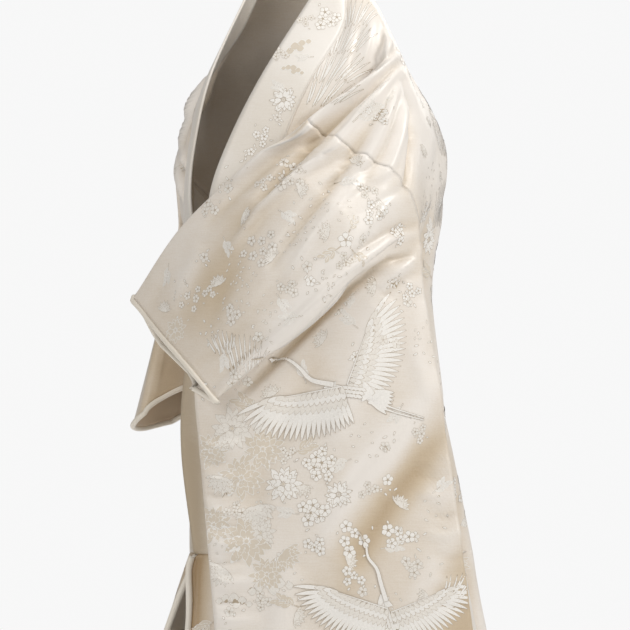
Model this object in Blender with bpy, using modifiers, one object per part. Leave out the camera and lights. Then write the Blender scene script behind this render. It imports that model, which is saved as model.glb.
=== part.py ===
"""Uchikake wedding kimono, worn open over a hollow general figure.

Units: the tables are in centimetres above the floor, the objects in metres, +Z up.
The garment faces -Y and the wearer's left is +X. The origin is the point between
the shoulders where the wearer carries the cloth.
"""
import math
from collections import namedtuple

import bmesh
import bpy
from mathutils import Vector

CM = 0.01
HOLD_HEIGHT = 130.0
WALL = 0.0025
COLLAR_WALL = 0.0040
LINING_WALL = 0.0012
SEAM_GAP = 0.0003
LOOSE_SEAM_GAP = 0.0010
COLLAR_GAP = 0.0014
NECK_GAP = 0.0036
ARMHOLE_GAP = 0.0005
UNDERARM_GAP = 0.0032
ROLL_GAPS = {"cuff_roll_left": 0.0024, "cuff_roll_right": 0.0008, "hem_roll_left": 0.0006,
             "hem_roll_right": 0.0024, "edge_roll_left": 0.0001, "edge_roll_right": 0.0003}
LEFT, RIGHT = 1, -1

SILK = ((0.86, 0.80, 0.71, 1.0), 0.42)
COLLAR_SILK = ((0.88, 0.83, 0.75, 1.0), 0.42)
ROLL_SILK = ((0.90, 0.86, 0.79, 1.0), 0.45)
LINING_SILK = ((0.62, 0.50, 0.38, 1.0), 0.60)

# The upper body: each row has five places from the middle (or the neck) out to the armhole.
Row = namedtuple("Row", "inner near middle far armhole")
SHOULDER_LEFT = Row((8.0, -1.0, 139.5), (12.8, 0.3, 135.3), (16.6, -1.0, 129.8),
                    (15.9, -5.5, 126.0), (12.5, -11.5, 120.4))
BACK_LEFT = (
    Row((5.5, 4.6, 139.0), (10.6, 3.6, 134.0), (16.9, 1.4, 127.6), (19.8, -3.2, 123.4), (19.5, -8.6, 116.6)),
    Row((0.0, 8.2, 136.8), (8.6, 7.0, 130.6), (15.2, 5.2, 124.4), (20.2, 0.2, 119.0), (22.7, -3.3, 113.0)),
    Row((0.0, 15.4, 122.4), (8.8, 14.0, 120.8), (14.0, 9.6, 118.4), (18.0, 4.0, 114.5), (21.4, 0.0, 108.5)),
    Row((0.0, 17.2, 114.6), (9.2, 15.0, 114.0), (14.2, 9.8, 113.0), (17.2, 4.8, 109.5), (18.2, 1.6, 107.0)),
)
FRONT_LEFT = (
    Row((10.3, -3.0, 133.2), (13.4, -4.0, 129.8), (15.2, -1.6, 125.8), (16.0, -5.4, 121.2), (13.6, -9.6, 117.0)),
    Row((10.5, -8.8, 126.0), (13.2, -7.8, 122.0), (16.2, -3.2, 119.5), (17.0, -5.2, 116.4), (15.2, -8.2, 113.2)),
    Row((9.5, -12.0, 119.0), (12.4, -9.9, 116.0), (15.2, -5.4, 113.5), (16.8, -3.8, 111.6), (18.0, -4.4, 109.6)),
    Row((8.3, -14.0, 111.0), (11.6, -11.2, 110.0), (14.6, -6.6, 108.5), (16.2, -2.8, 107.8), (17.2, 0.0, 107.0)),
)
SHOULDER_RIGHT = Row((8.0, -1.0, 139.5), (13.0, 0.3, 135.3), (17.8, 0.0, 129.5),
                     (20.8, -1.5, 124.0), (21.0, -4.0, 116.5))
BACK_RIGHT = (
    Row((5.5, 4.6, 139.0), (10.6, 3.6, 134.0), (16.6, 1.2, 127.9), (22.0, 0.5, 122.0), (22.7, -1.8, 114.5)),
    Row((0.0, 8.2, 136.8), (8.6, 7.0, 130.6), (15.2, 5.2, 124.4), (20.4, 2.6, 118.8), (22.5, 1.5, 112.0)),
    Row((0.0, 15.4, 122.4), (8.8, 14.0, 120.8), (14.0, 9.6, 118.4), (17.8, 5.6, 114.5), (20.2, 3.8, 109.4)),
    Row((0.0, 17.2, 114.6), (9.2, 15.0, 114.0), (14.2, 9.8, 112.0), (17.0, 5.0, 109.0), (18.0, 2.8, 107.2)),
)
FRONT_RIGHT = (
    Row((10.3, -3.0, 133.2), (12.8, -3.6, 130.8), (16.6, -3.2, 127.0), (19.6, -3.8, 121.5), (20.1, -6.0, 115.4)),
    Row((10.5, -8.8, 126.0), (12.8, -8.2, 124.0), (15.6, -6.6, 121.0), (17.9, -6.2, 117.2), (19.0, -6.4, 114.0)),
    Row((9.5, -12.0, 119.0), (12.0, -11.3, 117.0), (14.6, -9.0, 114.5), (16.5, -6.2, 113.0), (17.9, -4.2, 112.6)),
    Row((8.3, -14.0, 111.0), (10.9, -12.6, 110.0), (13.2, -9.6, 109.0), (14.9, -5.4, 108.0), (17.0, -0.4, 108.4)),
)

# The lower body: a rounded half section at each height, out to the side and round to the front edge.
# A fullness of 1 is an arc and one of 2 a straight run. Collar and okumi are widths along the front.
Section = namedtuple("Section", "height side_x side_y back_y left_x left_y right_x right_y "
                                "fullness collar okumi")
SECTIONS = (
    Section(105.0, 16.0, 0.0, 16.2, 1.0, -18.0, 1.0, -18.0, 1.35, 6.6, 0.0),
    Section(98.0, 16.0, 0.2, 15.2, 0.2, -18.4, 0.2, -17.4, 1.35, 6.6, 2.2),
    Section(88.6, 16.3, 0.4, 16.4, -0.4, -20.5, -0.6, -18.9, 1.45, 6.6, 4.4),
    Section(79.0, 17.0, 0.8, 18.4, -0.5, -20.9, -0.8, -19.3, 1.55, 6.4, 6.6),
    Section(66.0, 18.4, 1.4, 20.8, 0.7, -19.8, 0.6, -18.2, 1.55, 5.4, 9.6),
    Section(65.5, 18.5, 1.5, 20.9, 1.0, -19.9, 0.9, -18.3, 1.55, 0.0, 15.0),
    Section(55.7, 19.6, 2.4, 22.6, 1.9, -21.4, 2.4, -21.9, 1.60, 0.0, 15.0),
    Section(30.0, 22.6, 6.5, 29.0, 4.0, -27.5, 4.4, -30.5, 1.75, 0.0, 15.0),
    Section(12.0, 25.6, 11.5, 38.0, 6.2, -32.5, 7.0, -35.5, 1.85, 0.0, 15.0),
    Section(4.0, 27.6, 15.5, 48.0, 7.4, -35.5, 8.4, -38.5, 1.85, 0.0, 15.0),
    Section(1.7, 29.2, 18.5, 58.0, 8.2, -37.5, 9.4, -40.5, 1.85, 0.0, 15.0),
)

# Folds of the hanging body, placed by the share of the way from the centre back to the front edge.
Fold = namedtuple("Fold", "place width depth top")
FOLDS_LEFT = (
    Fold(0.10, 0.055, 1.5, 98.0), Fold(0.21, 0.065, -1.7, 90.0), Fold(0.32, 0.055, 1.7, 84.0),
    Fold(0.43, 0.060, -1.3, 72.0), Fold(0.56, 0.055, 1.2, 64.0), Fold(0.74, 0.050, -1.2, 62.0),
    Fold(0.90, 0.045, 1.0, 66.0),
)
FOLDS_RIGHT = (
    Fold(0.08, 0.055, -1.4, 92.0), Fold(0.19, 0.055, 1.8, 98.0), Fold(0.30, 0.065, -1.5, 80.0),
    Fold(0.41, 0.055, 1.4, 86.0), Fold(0.53, 0.060, -1.2, 68.0), Fold(0.68, 0.055, 1.2, 66.0),
    Fold(0.84, 0.050, -1.1, 70.0),
)
SIDE_SHARE = 0.42
FRONT_SHARE = 0.80
FOLD_RUN = 34.0
AXIS_Y = 0.0
WELD = 0.00002
FOLD_COSINE = 0.45

# Rows of faces between neighbouring rows of a net, and the rows that bound the openings.
ROW_STEPS = 2
BODY_COLUMNS = 10
OKUMI_COLUMNS = 3
NECK_ROWS = 2 * ROW_STEPS
COLLAR_ROWS = 9 * ROW_STEPS
COLLAR_COLUMNS = 3
NECK_GAP_ROWS = 4 * ROW_STEPS
OKUMI_FIRST_ROW = 5 * ROW_STEPS + 1
LINING_FIRST_COLUMN = 8
ARMHOLE_ROWS = 4 * ROW_STEPS
ARMHOLE_SEAM_ROWS = 3 * ROW_STEPS
UNDERARM_SEAM_ROWS = 2 * ROW_STEPS
TUCK_PLACE = 3
CREASE_PLACE = 5
RIDGE_PLACE = 7
INNER_CREASE_PLACE = 9
INNER_TUCK_PLACE = 11

# The sleeves: each station runs round the bag from its bottom edge, up the outer layer, over the
# top fold and down the inner layer. Stations go from the armhole to the sleeve mouth.
Station = namedtuple("Station", "low hang drop tuck crease belly upper ridge "
                                "in_upper in_belly in_crease in_tuck in_drop in_hang")
SLEEVE_LEFT = (
    Station((34.0, 3.4, 12.0), (28.8, 2.8, 55.7), (25.3, 0.6, 85.4), (22.8, -0.4, 99.6), (21.4, 0.0, 108.5),
            (22.7, -3.3, 113.0), (19.5, -8.6, 116.6), (12.5, -11.5, 120.4), (13.6, -9.6, 117.0),
            (15.2, -8.2, 113.2), (18.6, -5.4, 109.2), (19.9, -3.6, 101.0), (23.2, -0.6, 85.4),
            (26.4, 2.0, 55.7)),
    Station((30.0, -4.9, 12.0), (24.0, -5.9, 55.7), (19.6, -8.9, 97.0), (19.6, -9.4, 101.6), (21.8, -10.6, 101.6),
            (21.0, -13.0, 108.0), (15.6, -15.1, 112.5), (8.5, -16.0, 116.0), (8.6, -14.9, 113.6),
            (11.2, -13.6, 109.0), (14.2, -11.0, 104.4), (16.6, -8.6, 99.0), (17.9, -7.6, 91.0),
            (22.0, -4.6, 55.7)),
    Station((22.8, -13.8, 12.0), (17.2, -14.2, 55.7), (13.7, -15.9, 89.0), (13.6, -16.0, 94.4), (16.2, -17.8, 93.8),
            (14.1, -20.0, 98.4), (7.8, -20.6, 103.7), (0.4, -20.9, 107.8), (-0.2, -20.2, 105.6),
            (1.6, -19.6, 101.0), (5.8, -17.2, 96.2), (10.4, -13.6, 91.4), (12.2, -13.2, 87.0),
            (15.2, -12.4, 55.7)),
    Station((14.4, -22.8, 12.0), (8.3, -22.5, 55.7), (5.0, -23.1, 84.8), (4.9, -23.2, 87.4), (9.9, -23.4, 85.6),
            (5.6, -24.0, 89.5), (-1.1, -23.6, 94.0), (-7.6, -22.9, 98.3), (-8.0, -21.9, 96.0),
            (-4.4, -21.6, 91.6), (1.4, -21.7, 88.6), (4.2, -22.4, 87.2), (4.3, -22.3, 84.8),
            (7.5, -21.8, 55.7)),
)
SLEEVE_RIGHT = (
    Station((29.8, 20.0, 14.0), (26.0, 14.0, 55.0), (21.4, 9.6, 94.0), (20.2, 6.2, 102.5), (20.2, 3.8, 109.4),
            (22.5, 1.5, 112.0), (22.7, -1.8, 114.5), (21.0, -4.0, 116.5), (20.1, -6.0, 115.4),
            (19.0, -6.4, 114.0), (18.9, -4.4, 111.6), (18.9, 1.4, 104.0), (19.2, 7.4, 94.0),
            (24.0, 13.2, 55.0)),
    Station((30.0, 12.0, 13.3), (26.7, 9.0, 55.0), (21.6, 7.4, 88.0), (22.0, 5.2, 95.0), (22.8, 2.0, 99.0),
            (22.6, -2.0, 102.2), (20.8, -4.6, 104.8), (18.8, -6.6, 106.4), (18.2, -6.6, 104.8),
            (18.1, -4.6, 101.6), (18.5, -1.2, 98.4), (19.0, 2.6, 94.2), (20.0, 6.2, 88.0),
            (24.2, 8.2, 55.0)),
    Station((28.8, 4.0, 12.6), (25.2, 3.4, 55.0), (21.2, 3.2, 83.0), (21.8, 1.6, 87.6), (22.8, -2.4, 90.0),
            (21.8, -6.8, 91.8), (19.2, -9.8, 93.8), (16.6, -11.2, 95.4), (15.5, -10.2, 94.0),
            (15.2, -7.4, 92.8), (16.0, -2.8, 91.6), (17.4, 1.4, 89.2), (19.0, 3.0, 83.0),
            (22.2, 2.2, 55.0)),
    Station((27.2, -5.0, 12.0), (23.6, -2.4, 55.0), (20.3, -1.5, 82.6), (20.2, -1.6, 85.0), (22.4, -5.0, 82.6),
            (21.8, -9.8, 81.8), (18.6, -14.2, 82.2), (14.4, -15.9, 83.8), (13.6, -13.2, 85.2),
            (13.8, -9.6, 86.6), (15.6, -4.6, 87.2), (19.2, -1.5, 85.0), (19.3, -1.4, 82.6),
            (22.6, -2.3, 55.0)),
)
# Rows of faces between neighbouring places of a station, from the bottom edge round to it again.
SLEEVE_SPANS = (2, 3, 2, 2, 2, 2, 2, 2, 2, 2, 2, 2, 3, 2, 1)
SLEEVE_COLUMNS = 11
BAG_BOTTOM = 0.012

# The collar's folded edge beside each row of the neck, from the centre back to below the chest.
COLLAR_FOLD = ((0.0, 8.2, 143.9), (4.4, 5.6, 143.9), (6.9, -1.3, 142.6), (6.6, -5.8, 136.5),
               (5.2, -12.3, 127.0), (3.4, -16.2, 118.8), (2.0, -18.2, 112.0))
COLLAR_SECTIONS = 5
CUFF_ROLL_RADIUS = 0.0035
HEM_ROLL_RADIUS = 0.0130
EDGE_ROLL_RADIUS = 0.0045


def clear_scene():
    """Remove every object that the file opened with."""
    for item in list(bpy.data.objects):
        bpy.data.objects.remove(item, do_unlink=True)


def make_collection(name):
    """Return a new collection linked to the scene."""
    collection = bpy.data.collections.new(name)
    bpy.context.scene.collection.children.link(collection)
    return collection


def make_material(name, finish):
    """Return a Principled material with the finish's colour and roughness."""
    colour, roughness = finish
    material = bpy.data.materials.new(name)
    material.use_nodes = True
    shader = material.node_tree.nodes["Principled BSDF"]
    shader.inputs["Base Color"].default_value = colour
    shader.inputs["Roughness"].default_value = roughness
    shader.inputs["Metallic"].default_value = 0.0
    return material


def place(point, side):
    """Turn a table point in centimetres above the floor into metres from the shoulders."""
    x, y, z = point
    return Vector((side * x * CM, y * CM, (z - HOLD_HEIGHT) * CM))


def between(points, share):
    """Return the point at a share of the way along a smooth curve through the points."""
    last = len(points) - 1
    along = min(max(share, 0.0), 1.0) * last
    index = min(int(along), last - 1)
    t = along - index
    p1, p2 = points[index], points[index + 1]
    p0 = points[index - 1] if index > 0 else p1 * 2 - p2
    p3 = points[index + 2] if index + 2 <= last else p2 * 2 - p1
    bend = p0 * 2 - p1 * 5 + p2 * 4 - p3
    twist = (p1 - p2) * 3 + p3 - p0
    return (p1 * 2 + (p2 - p0) * t + bend * t * t + twist * t * t * t) * 0.5


def net_point(net, down, across):
    """Return a point of the surface through a net of rows, by its two shares."""
    columns = [[row[index] for row in net] for index in range(len(net[0]))]
    return between([between(column, down) for column in columns], across)


def section_point(section, side, share):
    """Return the point of a body section, from the centre back round to the front edge."""
    if side == LEFT:
        front_x, front_y = section.left_x, section.left_y
    else:
        front_x, front_y = section.right_x, section.right_y
    if share <= SIDE_SHARE:
        turn = share / SIDE_SHARE * math.pi / 2
        x = section.side_x * math.sin(turn)
        y = section.side_y + (section.back_y - section.side_y) * math.cos(turn)
    else:
        turn = (share - SIDE_SHARE) / (1 - SIDE_SHARE) * math.pi / 2
        x = front_x + (section.side_x - front_x) * math.cos(turn) ** section.fullness
        y = section.side_y + (front_y - section.side_y) * math.sin(turn) ** section.fullness
    return place((x, y, section.height), side)


def seam_share(section, side, width):
    """Return the share along the section that lies a width in from the front edge."""
    share = 1.0
    step = 0.002
    run = 0.0
    last = section_point(section, side, share)
    while run < width * CM:
        share -= step
        here = section_point(section, side, share)
        run += (here - last).length
        last = here
    return share


def folded(point, side, share):
    """Move a point of the hanging body out or in by the folds that pass it."""
    height = point.z / CM + HOLD_HEIGHT
    folds = FOLDS_LEFT if side == LEFT else FOLDS_RIGHT
    move = 0.0
    for fold in folds:
        reach = min(max((fold.top - height) / FOLD_RUN, 0.0), 1.0)
        if reach > 0.0:
            near = (share - fold.place) / fold.width
            move += fold.depth * reach * reach * (3 - 2 * reach) * math.exp(-near * near)
    outward = Vector((point.x, point.y, 0.0)).normalized()
    return point + outward * move * CM


def body_rows(side, panel):
    """Return the net of a panel: five places in each row, from the shoulder to the hem."""
    if side == LEFT:
        shoulder, upper = SHOULDER_LEFT, BACK_LEFT if panel == "back" else FRONT_LEFT
    else:
        shoulder, upper = SHOULDER_RIGHT, BACK_RIGHT if panel == "back" else FRONT_RIGHT
    rows = [[place(point, side) for point in row] for row in (shoulder, *upper)]
    for section in SECTIONS:
        start = 0.0
        if panel == "front":
            start = seam_share(section, side, section.collar + section.okumi)
        shares = [start + (SIDE_SHARE - start) * step / 4 for step in range(5)]
        rows.append([section_point(section, side, share) for share in shares])
    return rows


def okumi_rows(side):
    """Return the net of an okumi: rows without width down to its point, then the sections."""
    upper = (SHOULDER_LEFT, *FRONT_LEFT) if side == LEFT else (SHOULDER_RIGHT, *FRONT_RIGHT)
    rows = [[place(row.inner, side)] * 3 for row in upper]
    for section in SECTIONS:
        edge = seam_share(section, side, section.collar)
        seam = seam_share(section, side, section.collar + section.okumi)
        rows.append([section_point(section, side, edge + (seam - edge) * step / 2) for step in range(3)])
    return rows


def net_grid(net, columns, side, share_from, share_to):
    """Return a grid of points of a net, with the body's folds."""
    total = (len(net) - 1) * ROW_STEPS
    grid = []
    for row in range(total + 1):
        line = []
        for column in range(columns + 1):
            across = column / columns
            point = net_point(net, row / total, across)
            line.append(folded(point, side, share_from + (share_to - share_from) * across))
        grid.append(line)
    return grid


def inset_edge(grid, edge, distance, rows=None):
    """Draw one edge of a grid of points back along the cloth to leave a seam gap."""
    chosen = range(len(grid)) if rows is None else rows
    for index in chosen:
        line = grid[index]
        if edge == "first":
            line[0] = line[0] + (line[1] - line[0]).normalized() * distance
        else:
            line[-1] = line[-1] + (line[-2] - line[-1]).normalized() * distance


def turn_outward(body, centre):
    """Make the faces of an open surface look away from its middle."""
    bmesh.ops.recalc_face_normals(body, faces=body.faces)
    vote = 0.0
    for face in body.faces:
        middle = face.calc_center_median()
        away = middle - (centre if centre is not None else Vector((0.0, AXIS_Y, middle.z)))
        vote += face.normal.dot(away) * face.calc_area()
    if vote < 0.0:
        bmesh.ops.reverse_faces(body, faces=body.faces)


def add_sheet(name, grids, wall, material, collection, centre=None):
    """Make one cloth wall from grids of points that share their joined edges."""
    body = bmesh.new()
    for grid in grids:
        rows, columns = len(grid) - 1, len(grid[0]) - 1
        made = bmesh.ops.create_grid(body, x_segments=columns, y_segments=rows, size=0.5)
        for vert in made["verts"]:
            column = round((vert.co.x + 0.5) * columns)
            row = round((vert.co.y + 0.5) * rows)
            vert.co = grid[row][column]
    bmesh.ops.remove_doubles(body, verts=body.verts, dist=WELD)
    turn_outward(body, centre)
    mesh = bpy.data.meshes.new(name)
    body.to_mesh(mesh)
    body.free()
    mesh.materials.append(material)
    sheet = bpy.data.objects.new(name, mesh)
    collection.objects.link(sheet)
    solid = sheet.modifiers.new("wall", "SOLIDIFY")
    solid.solidify_mode = "NON_MANIFOLD"
    solid.nonmanifold_thickness_mode = "FIXED"
    solid.thickness = wall
    solid.offset = 1.0
    return sheet


def add_roll(name, points, radii, material, collection):
    """Make a padded roll as a bevelled curve along the points."""
    curve = bpy.data.curves.new(name, "CURVE")
    curve.dimensions = "3D"
    curve.bevel_depth = 1.0
    curve.bevel_resolution = 1
    curve.use_fill_caps = True
    spline = curve.splines.new("POLY")
    spline.points.add(len(points) - 1)
    for spot, point, radius in zip(spline.points, points, radii):
        spot.co = (*point, 1.0)
        spot.radius = radius
    curve.materials.append(material)
    roll = bpy.data.objects.new(name, curve)
    collection.objects.link(roll)
    return roll


def body_grids(side, okumi):
    """Return the back and front grids of one body length, joined at the shoulder and the side."""
    back = net_grid(body_rows(side, "back"), BODY_COLUMNS, side, 0.0, SIDE_SHARE)
    front = net_grid(body_rows(side, "front"), BODY_COLUMNS, side, FRONT_SHARE, SIDE_SHARE)
    for line in back:
        line[0].x = side * max(side * line[0].x, 0.0)
    for row in range(ARMHOLE_ROWS + 1, len(back)):
        front[row][-1] = back[row][-1].copy()
    for row in range(OKUMI_FIRST_ROW):
        front[row][0] = okumi[row][0].copy()
    return back, front


def build_body(name, grids, material, collection):
    """Build one body length, from its back hem over the shoulder to its front hem."""
    back, front = ([[point.copy() for point in line] for line in grid] for grid in grids)
    inset_edge(back, "last", ARMHOLE_GAP, range(ARMHOLE_ROWS + 1))
    inset_edge(front, "last", ARMHOLE_GAP, range(1))
    inset_edge(front, "last", UNDERARM_GAP, range(1, ARMHOLE_ROWS + 1))
    inset_edge(back, "first", LOOSE_SEAM_GAP / 2)
    inset_edge(front, "first", LOOSE_SEAM_GAP / 2)
    front[0][0] = back[0][0].copy()
    return add_sheet(name, (back, front), WALL, material, collection)


def build_okumi(name, grid, material, collection):
    """Build one overlap panel, from its point under the collar to the hem."""
    panel = [[point.copy() for point in line] for line in grid[OKUMI_FIRST_ROW:]]
    inset_edge(panel, "first", LOOSE_SEAM_GAP / 2)
    inset_edge(panel, "last", LOOSE_SEAM_GAP / 2)
    return add_sheet(name, (panel,), WALL, material, collection)


def collar_grid(side, back, okumi):
    """Return one half of the collar as a grid, from the centre back to its lower end."""
    seam = [back[row][0] for row in range(NECK_ROWS, 0, -1)]
    seam += [line[0] for line in okumi[:COLLAR_ROWS + 1]]
    folds = [place(point, side) for point in COLLAR_FOLD]
    for section in SECTIONS[:COLLAR_SECTIONS]:
        folds.append(folded(section_point(section, side, 1.0), side, 1.0))
    grid = []
    for index, point in enumerate(seam):
        fold = between(folds, index / (len(seam) - 1))
        gap = NECK_GAP if index <= NECK_GAP_ROWS else COLLAR_GAP
        start = point + (fold - point).normalized() * gap
        grid.append([start.lerp(fold, column / COLLAR_COLUMNS) for column in range(COLLAR_COLUMNS + 1)])
    return grid


def bag_line(loop):
    """Return the points round the bag through its places, straight where the cloth hangs flat."""
    line = []
    for index, count in enumerate(SLEEVE_SPANS):
        for step in range(count):
            if index < CREASE_PLACE or index >= INNER_CREASE_PLACE:
                line.append(loop[index].lerp(loop[index + 1], step / count))
            else:
                line.append(between(loop, (index + step / count) / len(SLEEVE_SPANS)))
    return line + [loop[-1]]


def sleeve_grid(side, stations, back, front):
    """Return the grid of a sleeve bag: a line of points round the bag at each column."""
    loops = []
    for station in stations:
        loop = [place(point, side) for point in station]
        low, hang, inner_hang = loop[0], loop[1], loop[-1]
        loops.append(loop + [low + (inner_hang - hang).normalized() * BAG_BOTTOM, low])
    grid = []
    for column in range(SLEEVE_COLUMNS + 1):
        across = column / SLEEVE_COLUMNS
        loop = [between(line, across) for line in zip(*loops)]
        grid.append(bag_line(loop))
    ridge = sum(SLEEVE_SPANS[:RIDGE_PLACE])
    for step in range(ARMHOLE_SEAM_ROWS + 1):
        grid[0][ridge - step] = back[step][-1].copy()
    for step in range(UNDERARM_SEAM_ROWS + 1):
        grid[0][ridge + step] = front[step][-1].copy()
    return grid


def build_sleeve(name, grid, material, collection):
    """Build one sleeve bag, open at the armhole, its back edge and the sleeve mouth."""
    inset = [[point.copy() for point in line] for line in grid]
    ridge = sum(SLEEVE_SPANS[:RIDGE_PLACE])
    for row in range(len(grid[0])):
        gap = ARMHOLE_GAP if row <= ridge else UNDERARM_GAP
        inset[0][row] = grid[0][row] + (grid[1][row] - grid[0][row]).normalized() * gap
    inset[0][-1] = inset[0][0].copy()
    return add_sheet(name, (inset,), WALL, material, collection, bag_centre(grid))


def bag_normals(grid, column, centre):
    """Return the outward normal at each point round a bag, long enough to clear a sharp fold."""
    line = grid[column]
    across = [b - a for a, b in zip(grid[max(column - 1, 0)], grid[min(column + 1, len(grid) - 1)])]
    faces = [(line[row + 1] - line[row]).cross(across[row]).normalized() for row in range(len(line) - 1)]
    vote = sum((line[row] - centre).dot(face) for row, face in enumerate(faces))
    turn = math.copysign(1.0, vote)
    normals = []
    for row in range(len(line)):
        before, after = faces[max(row - 1, 0)], faces[min(row, len(faces) - 1)]
        middle = (before + after).normalized()
        normals.append(middle * turn / max(middle.dot(after), FOLD_COSINE))
    return normals


def bag_centre(grid):
    """Return the mean of a bag's points."""
    return sum((point for line in grid for point in line), Vector()) / (len(grid) * len(grid[0]))


def edge_line(line, before, reach):
    """Return points just off an edge of cloth, given the line of points next to it."""
    points = []
    for index, edge in enumerate(line):
        along = (line[min(index + 1, len(line) - 1)] - line[max(index - 1, 0)]).normalized()
        out = edge - before[index]
        out = (out - along * out.dot(along)).normalized()
        points.append(edge + out * reach)
    return points


def build_cuff_roll(name, grid, material, collection):
    """Build the padded roll round a sleeve mouth, just off the edge of the bag."""
    first = sum(SLEEVE_SPANS[:TUCK_PLACE]) + 1
    last = sum(SLEEVE_SPANS[:INNER_TUCK_PLACE])
    normals = bag_normals(grid, len(grid) - 1, bag_centre(grid))
    line = [point + normal * WALL / 2 for point, normal in zip(grid[-1], normals)]
    before = [point + normal * WALL / 2 for point, normal in zip(grid[-2], normals)]
    points = edge_line(line[first:last], before[first:last], CUFF_ROLL_RADIUS + ROLL_GAPS[name])
    return add_roll(name, points, [CUFF_ROLL_RADIUS] * len(points), material, collection)


def build_hem_roll(name, back, front, okumi, material, collection):
    """Build the padded roll along one half of the hem, from the centre back to the front edge."""
    line = back[-1][:-1] + front[-1][::-1][:-1] + okumi[-1][::-1]
    before = back[-2][:-1] + front[-2][::-1][:-1] + okumi[-2][::-1]
    points = edge_line(line, before, HEM_ROLL_RADIUS + ROLL_GAPS[name])
    points[0].x += math.copysign(LOOSE_SEAM_GAP / 2, line[1].x)
    return add_roll(name, points, [HEM_ROLL_RADIUS] * len(points), material, collection)


def build_edge_roll(name, okumi, material, collection):
    """Build the narrow roll down the front edge, from the collar's end to the hem roll."""
    line = [row[0] for row in okumi[COLLAR_ROWS + 2:-1]]
    before = [row[1] for row in okumi[COLLAR_ROWS + 2:-1]]
    points = edge_line(line, before, EDGE_ROLL_RADIUS + ROLL_GAPS[name])
    return add_roll(name, points, [EDGE_ROLL_RADIUS] * len(points), material, collection)


def build_cuff_lining(name, grid, material, collection):
    """Build the lining that shows inside a sleeve mouth, just inside the bag's wall."""
    first = sum(SLEEVE_SPANS[:TUCK_PLACE]) + 2
    last = sum(SLEEVE_SPANS[:INNER_TUCK_PLACE]) - 1
    centre = bag_centre(grid)
    depth = LINING_WALL + SEAM_GAP
    rows = []
    for column in range(LINING_FIRST_COLUMN, len(grid)):
        normals = bag_normals(grid, column, centre)
        rows.append([grid[column][row] - normals[row] * depth for row in range(first, last)])
    return add_sheet(name, (rows,), LINING_WALL, material, collection, centre)


def build_parts():
    """Build the kimono's pieces."""
    clear_scene()
    collection = make_collection("uchikake")
    silk = make_material("silk_damask", SILK)
    collar_silk = make_material("collar_silk", COLLAR_SILK)
    roll_silk = make_material("roll_silk", ROLL_SILK)
    lining_silk = make_material("lining_silk", LINING_SILK)
    collar_halves = []
    for side, word, stations in ((LEFT, "left", SLEEVE_LEFT), (RIGHT, "right", SLEEVE_RIGHT)):
        okumi = net_grid(okumi_rows(side), OKUMI_COLUMNS, side, 1.0, FRONT_SHARE)
        back, front = body_grids(side, okumi)
        bag = sleeve_grid(side, stations, back, front)
        build_body(f"body_{word}", (back, front), silk, collection)
        build_okumi(f"okumi_{word}", okumi, silk, collection)
        build_sleeve(f"sleeve_{word}", bag, silk, collection)
        build_cuff_roll(f"cuff_roll_{word}", bag, roll_silk, collection)
        if side == RIGHT:
            build_cuff_lining(f"cuff_lining_{word}", bag, lining_silk, collection)
        build_hem_roll(f"hem_roll_{word}", back, front, okumi, roll_silk, collection)
        build_edge_roll(f"edge_roll_{word}", okumi, roll_silk, collection)
        collar_halves.append(collar_grid(side, back, okumi))
    add_sheet("collar", collar_halves, COLLAR_WALL, collar_silk, collection)


build_parts()
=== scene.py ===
"""Uchikake wedding kimono, worn open over a hollow general figure.

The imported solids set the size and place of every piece. Each cloth piece here is a thin
shell on the same surface, drawn finer, with its creases, seams and woven figures.
Tables are in centimetres above the floor: out to the side, to the back, up. Objects are
in metres from the shoulders, +Z up. The garment faces -Y and the wearer's left is +X.
Creases and figures are placed by the view that shows them: an azimuth, then places across
and up that view in centimetres, or the main view's dots, which PHOTO_DOTS turns into them.
"""
import logging
from dataclasses import dataclass, field
from enum import Enum
from math import ceil, cos, dist, hypot, pi, radians, sin, sqrt
from typing import Iterable, NamedTuple, Sequence

import bmesh
import bpy
import numpy as np
from bpy.types import ID, Material, NodeSocket, Object
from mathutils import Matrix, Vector
from mathutils.bvhtree import BVHTree


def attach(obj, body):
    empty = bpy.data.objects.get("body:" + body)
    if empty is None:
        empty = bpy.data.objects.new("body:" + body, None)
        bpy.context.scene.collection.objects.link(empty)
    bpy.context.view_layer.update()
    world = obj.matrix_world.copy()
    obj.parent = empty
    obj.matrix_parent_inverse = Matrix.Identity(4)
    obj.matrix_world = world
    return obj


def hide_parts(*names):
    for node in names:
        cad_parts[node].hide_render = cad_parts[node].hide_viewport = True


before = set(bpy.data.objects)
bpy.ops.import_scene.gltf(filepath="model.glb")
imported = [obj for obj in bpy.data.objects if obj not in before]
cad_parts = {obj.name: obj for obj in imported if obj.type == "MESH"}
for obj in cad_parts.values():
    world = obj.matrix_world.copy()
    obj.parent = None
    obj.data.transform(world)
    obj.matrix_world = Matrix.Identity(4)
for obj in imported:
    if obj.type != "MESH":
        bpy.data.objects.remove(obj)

LOG = logging.getLogger("uchikake")
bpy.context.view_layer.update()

CM = 0.01
MM = 0.001
HOLD_HEIGHT = 130.0
WALL = 0.0014
COLLAR_WALL = 0.0030
LINING_WALL = 0.0010
COLLAR_GAP = 0.0004
LEVEL = (1.0, 1.0, 0.0)
PHOTO_AZIMUTH = 50.0
PHOTO_DOTS = 7.75
PHOTO_AXIS = 310.0
PHOTO_TOP = 137.0


class Side(Enum):
    """The wearer's side that a piece is on."""

    LEFT = 1
    RIGHT = -1

    @property
    def word(self) -> str:
        """Return the side's name as the solids spell it."""
        return self.name.lower()


Point = tuple[float, float, float]
Pair = tuple[float, float]
Colour = tuple[float, float, float, float]


class Row(NamedTuple):
    """Five places of the upper body, from the middle or the neck out to the armhole."""

    inner: Point
    near: Point
    middle: Point
    far: Point
    armhole: Point


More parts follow.
